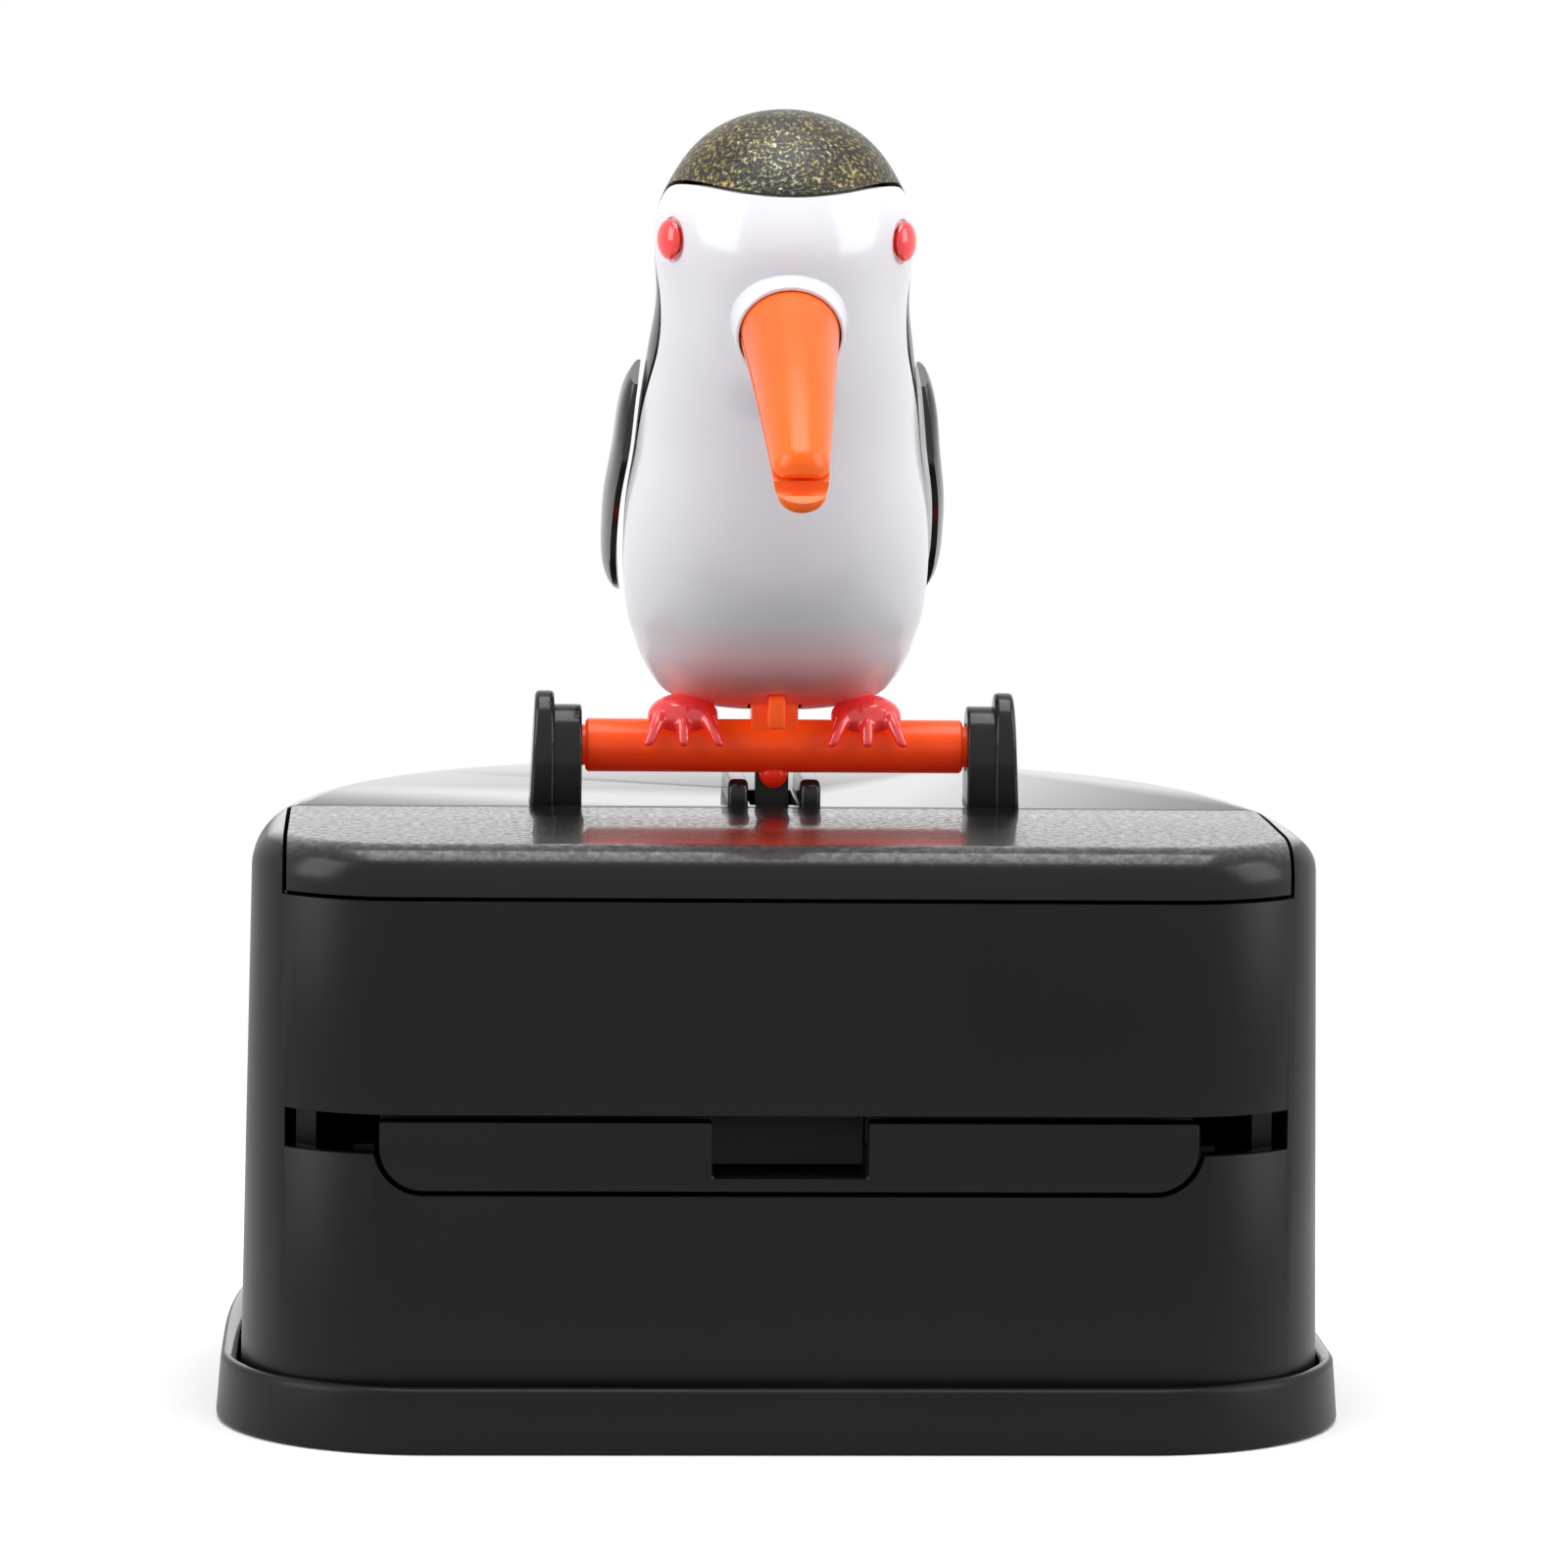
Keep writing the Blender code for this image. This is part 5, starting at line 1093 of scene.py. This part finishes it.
def mandible(upper):
    # half round, closing to a blunt tip
    form = beakForm
    reach, sign = (form["upperShare"], 1) if upper else (1.0, -1)
    across, halfSlit = Vector((1, 0, 0)), form["slit"] / 2
    rings = []
    for step in range(form["stations"] + 1):
        share = reach * math.sin(math.pi / 2 * (step / form["stations"]))
        radius = beakRadius(share)
        rest, nose = (reach - share) * beakLength, radius * form["noseShare"]
        full = 1.0
        if rest <= nose:
            full = max(math.sqrt(max(1 - (1 - rest / nose) ** 2, 0.0)), form["bluntShare"])
        up = (beakPoint(share + 0.01) - beakPoint(share - 0.01)).cross(across).normalized()
        ring = []
        for index in range(form["sides"] + 1):
            angle = math.pi * index / form["sides"]
            rise = halfSlit + (radius - halfSlit) * math.sin(angle) * full
            ring.append(beakPoint(share) + across * (radius * math.cos(angle) * full) + up * sign * rise)
        rings.append(ring)
    return sweepRings(rings)


def makeBeak():
    # the round seat near the tip takes the toothpick
    form = beakForm
    seat, reach = beakPoint(form["seatShare"]), Vector((form["seatReach"], 0, 0))
    for name in ("Upper", "Lower"):
        bm = carve(mandible(name == "Upper"), rodMesh(form["seatRadius"], seat - reach, seat + reach, 32))
        softenEdges(tidyMesh(bm, 0.002 * mm, flat=False), form["edge"], angle=50, segments=2)
        finishPiece(f"beak{name}", bm, "beak", "bird", f"beak_{name.lower()}", angle=40)


# wings

wingForm = {
    "length": 21.0 * mm, "halfWidth": 4.4 * mm, "thickness": 1.2 * mm, "top": (-4.2 * mm, 74.0 * mm),
    "slope": 50.0, "flare": 0.25 * mm, "wrap": 0.03, "wrapLimit": 1.2, "edge": 0.62, "ends": 0.5,
    "gap": 0.3 * mm, "cuts": 30,
    "leaf": (
        (0.0, 0.30), (0.10, 0.62), (0.25, 0.96), (0.40, 1.06), (0.60, 1.0), (0.80, 0.80), (0.93, 0.52),
        (1.0, 0.25)),
}


def makeWings():
    # a block drawn out to a leaf that lies on the bird's side
    form = wingForm
    slope = math.radians(form["slope"])
    along = Vector((0.0, math.cos(slope), -math.sin(slope)))
    across = Vector((0.0, math.sin(slope), math.cos(slope)))
    for name, side in (("Left", -1), ("Right", 1)):
        bm = bmesh.new()
        bmesh.ops.create_cube(bm, size=2)
        bmesh.ops.subdivide_edges(bm, edges=bm.edges, cuts=form["cuts"], use_grid_fill=True)
        for vert in bm.verts:
            part, offset, outer = (vert.co.x + 1) / 2, vert.co.y, (vert.co.z + 1) / 2
            point = Vector((0.0, *form["top"])) + along * form["length"] * part
            point += across * form["halfWidth"] * roundTable(form["leaf"], part) * offset
            halfWidth, halfDepth, centre = birdSection((point.z - birdForm["bottom"]) / birdForm["height"])
            behind = min(((point.y - centre) / halfDepth) ** 2, form["wrapLimit"])
            x = halfWidth * (1 - form["wrap"] * behind) + form["gap"] + form["flare"] * part ** 2
            ends = 1 - form["ends"] * abs(2 * part - 1) ** 6
            thick = form["thickness"] * (1 - form["edge"] * abs(offset) ** 3) * ends
            vert.co = Vector((side * (x + thick * outer), point.y, point.z))
        bmesh.ops.remove_doubles(bm, verts=bm.verts, dist=0.004 * mm)
        finishPiece(f"wing{name}", bm, "wing", "bird", f"wing_{name.lower()}", angle=60)


# feet

footForm = {
    "offset": 6.7 * mm, "radius": 2.1 * mm, "scale": (1.24, 0.85, 0.80), "rise": 2.2 * mm,
    "forward": 0.5 * mm, "toeRadius": 0.58 * mm, "toeBend": 0.85, "toeShares": (1.25, 0.6),
    "spread": 2.65 * mm, "spreadShares": (0.25, 0.75), "start": 80.0, "end": 176.0, "steps": 24, "sides": 16,
    "tip": (0.96, 0.7), "grip": 2.2 * mm, "voxel": 0.11 * mm, "smoothing": 4,
}


def toeMesh(spread):
    # thins and spreads as it curls round the bar
    form = footForm
    y, z = perchForm["axisY"], perchForm["axisZ"]
    wide, thinning = form["toeShares"]
    rootSpread, moreSpread = form["spreadShares"]
    tipFrom, tipShare = form["tip"]
    rings = []
    for step in range(form["steps"] + 1):
        part = step / form["steps"]
        angle = math.radians(form["start"] + (form["end"] - form["start"]) * part)
        radial = Vector((0.0, math.cos(angle), math.sin(angle)))
        sideways = spread * form["spread"] * (rootSpread + moreSpread * part)
        middle = Vector((form["offset"] + sideways, y, z))
        middle += radial * (form["grip"] + form["toeRadius"] * form["toeBend"])
        radius = form["toeRadius"] * (wide - thinning * part ** 1.5) * (1.0 if part < tipFrom else tipShare)
        rings.append([
            middle + Vector((radius * math.cos(turn), 0, 0)) + radial * radius * math.sin(turn)
            for turn in (2 * math.pi * index / form["sides"] for index in range(form["sides"]))])
    return sweepRings(rings)


def makeFeet():
    # a dome and three toes melted together, hollowed where they grip the bar
    form = footForm
    y, z = perchForm["axisY"], perchForm["axisZ"]
    centre = Vector((form["offset"], y - form["forward"], z + form["rise"]))
    dome = bmesh.new()
    bmesh.ops.create_uvsphere(
        dome, u_segments=48, v_segments=32, radius=form["radius"],
        matrix=Matrix.Translation(centre) @ Matrix.Diagonal((*form["scale"], 1)))
    thing = temporary(gather(dome, *[toeMesh(spread) for spread in (-1, 0, 1)]))
    remesh = thing.modifiers.new("blend", "REMESH")
    remesh.mode = "VOXEL"
    remesh.voxel_size = form["voxel"]
    bm = modified(thing)
    for _ in range(form["smoothing"]):
        bmesh.ops.smooth_vert(
            bm, verts=bm.verts, factor=0.5, use_axis_x=True, use_axis_y=True, use_axis_z=True)
    bm = carve(bm, rodMesh(form["grip"], (0, y, z), (form["offset"] * 2, y, z), 96))
    for name, side in (("Right", 1), ("Left", -1)):
        copy = bm.copy()
        if side < 0:
            bmesh.ops.scale(copy, vec=(-1, 1, 1), verts=copy.verts)
        finishPiece(f"foot{name}", copy, "red", "bird", f"foot_{name.lower()}", angle=60)
    bm.free()


# return springs, copied as they stand; the real ones shorten as the drawer comes out


def makeSprings():
    for side in ("left", "right"):
        bm = bmesh.new()
        bm.from_mesh(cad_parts[f"return_spring_{side}"].data)
        bmesh.ops.remove_doubles(bm, verts=bm.verts, dist=0.002 * mm)
        piece = finishPiece(f"spring{side.title()}", bm, "steel", "box", f"return_spring_{side}", angle=70)
        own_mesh(piece)


makeBase()
makeHousing()
makeLid()
makeDrawer()
makeBar()
makeShells()
makeEyes()
makeBeak()
makeWings()
makeFeet()
makeSprings()
for node in ("feed_bed", "hopper", "rocker"):
    dressNode(node, "inner")
for node in ("rocker_pin", *[f"base_screw_{number}" for number in (1, 2, 3, 4)]):
    dressNode(node, "steel")
print("pieces made")


# floor, light and camera

stageForm = {
    "floorSize": 3.0, "floorColour": rgb(0.50, 0.50, 0.50), "white": rgb(1.0, 1.0, 1.0), "whiteFrom": 0.045,
    "whiteTo": 0.12, "worldLevel": 0.48, "frontLevel": 0.02, "frontFrom": -0.9, "frontTo": -0.2,
}
lampForm = {
    "keyLamp": {"place": (-0.85, -0.30, 0.42), "target": (0, 0, 0.06), "size": (0.6, 0.8), "power": 5.7},
    "fillLamp": {"place": (0.85, -0.26, 0.42), "target": (0, 0, 0.06), "size": (0.6, 0.8), "power": 5.4},
    "topLamp": {"place": (0.0, -0.10, 1.1), "target": (0, 0, 0.05), "size": (0.8, 0.8), "power": 9.6},
}
cameraForm = {
    # the photograph's station, read from the box's corners
    "place": (-27.28 * mm, -520.85 * mm, 100.33 * mm), "yaw": 3.098, "pitch": 6.213, "roll": 0.652,
    "sensor": 36.0, "lens": 163.56, "clip": (0.01, 20.0),
}


def plainRays(g):
    # 1 for what the camera, a gloss or a clear part sees
    camera, gloss, clear = (
        g.add("ShaderNodeLightPath", {}, {}, f"Is {kind} Ray")
        for kind in ("Camera", "Glossy", "Transmission"))
    return g.maths("ADD", g.maths("ADD", camera, gloss, clamp=True), clear, clamp=True)


def makeStage():
    form = stageForm
    bm = bmesh.new()
    bmesh.ops.create_grid(bm, x_segments=1, y_segments=1, size=form["floorSize"])
    mesh = bpy.data.meshes.new("studioFloor")
    bm.to_mesh(mesh)
    bm.free()
    floor = bpy.data.objects.new("studioFloor", mesh)
    bpy.context.scene.collection.objects.link(floor)
    g = newFinish("studioFloor")
    seen = plainRays(g)
    distance = g.add("ShaderNodeVectorMath", {"operation": "LENGTH"}, {0: g.coordinates()}, "Value")
    away = g.between(distance, form["whiteFrom"], form["whiteTo"])
    mesh.materials.append(g.shine(
        Base_Color=g.blend(seen, form["floorColour"], form["white"]), Roughness=0.9, Specular_IOR_Level=0.0))
    glow = g.add("ShaderNodeEmission", {}, {"Color": form["white"], "Strength": 1.0})
    mixed = g.add("ShaderNodeMixShader", {}, {0: seen * away, 1: Wire(g, g.shader.outputs[0]), 2: glow})
    g.feed(g.tree.nodes["Material Output"].inputs["Surface"], mixed)


def makeWorld():
    # darker before the object, where its front looks
    form = stageForm
    world = bpy.data.worlds.new("studio")
    bpy.context.scene.world = world
    g = Graph(world, "Background")
    way = g.axis(g.add("ShaderNodeTexCoord", {}, {}, "Generated"), "Y")
    light = g.between(way, form["frontFrom"], form["frontTo"], form["frontLevel"], form["worldLevel"])
    g.shine(Color=form["white"], Strength=g.between(plainRays(g), 0.0, 1.0, light, 1.0))


def softLamp(name, place, target, size, power):
    lamp = bpy.data.lights.new(name, "AREA")
    lamp.shape = "RECTANGLE"
    lamp.size, lamp.size_y = size
    lamp.energy = power
    thing = bpy.data.objects.new(name, lamp)
    thing.location = place
    thing.rotation_mode = "QUATERNION"
    thing.rotation_quaternion = (Vector(target) - Vector(place)).to_track_quat("-Z", "Y")
    bpy.context.scene.collection.objects.link(thing)


def makeCamera():
    form = cameraForm
    data = bpy.data.cameras.new("photoCamera")
    data.sensor_width = form["sensor"]
    data.lens = form["lens"]
    data.clip_start, data.clip_end = form["clip"]
    yaw, pitch, roll = (math.radians(form[name]) for name in ("yaw", "pitch", "roll"))
    forward = Vector((math.sin(yaw) * math.cos(pitch), math.cos(yaw) * math.cos(pitch), -math.sin(pitch)))
    right = forward.cross(Vector((0, 0, 1))).normalized()
    up = right.cross(forward)
    turned = right * math.cos(roll) + up * math.sin(roll)
    upright = up * math.cos(roll) - right * math.sin(roll)
    camera = bpy.data.objects.new("photoCamera", data)
    camera.rotation_mode = "QUATERNION"
    camera.rotation_quaternion = Matrix((turned, upright, -forward)).transposed().to_quaternion()
    camera.location = form["place"]
    bpy.context.scene.collection.objects.link(camera)
    bpy.context.scene.camera = camera


makeStage()
makeWorld()
for name, values in lampForm.items():
    softLamp(name, **values)
makeCamera()
bpy.context.scene.view_settings.view_transform = "Standard"
print("stage made")
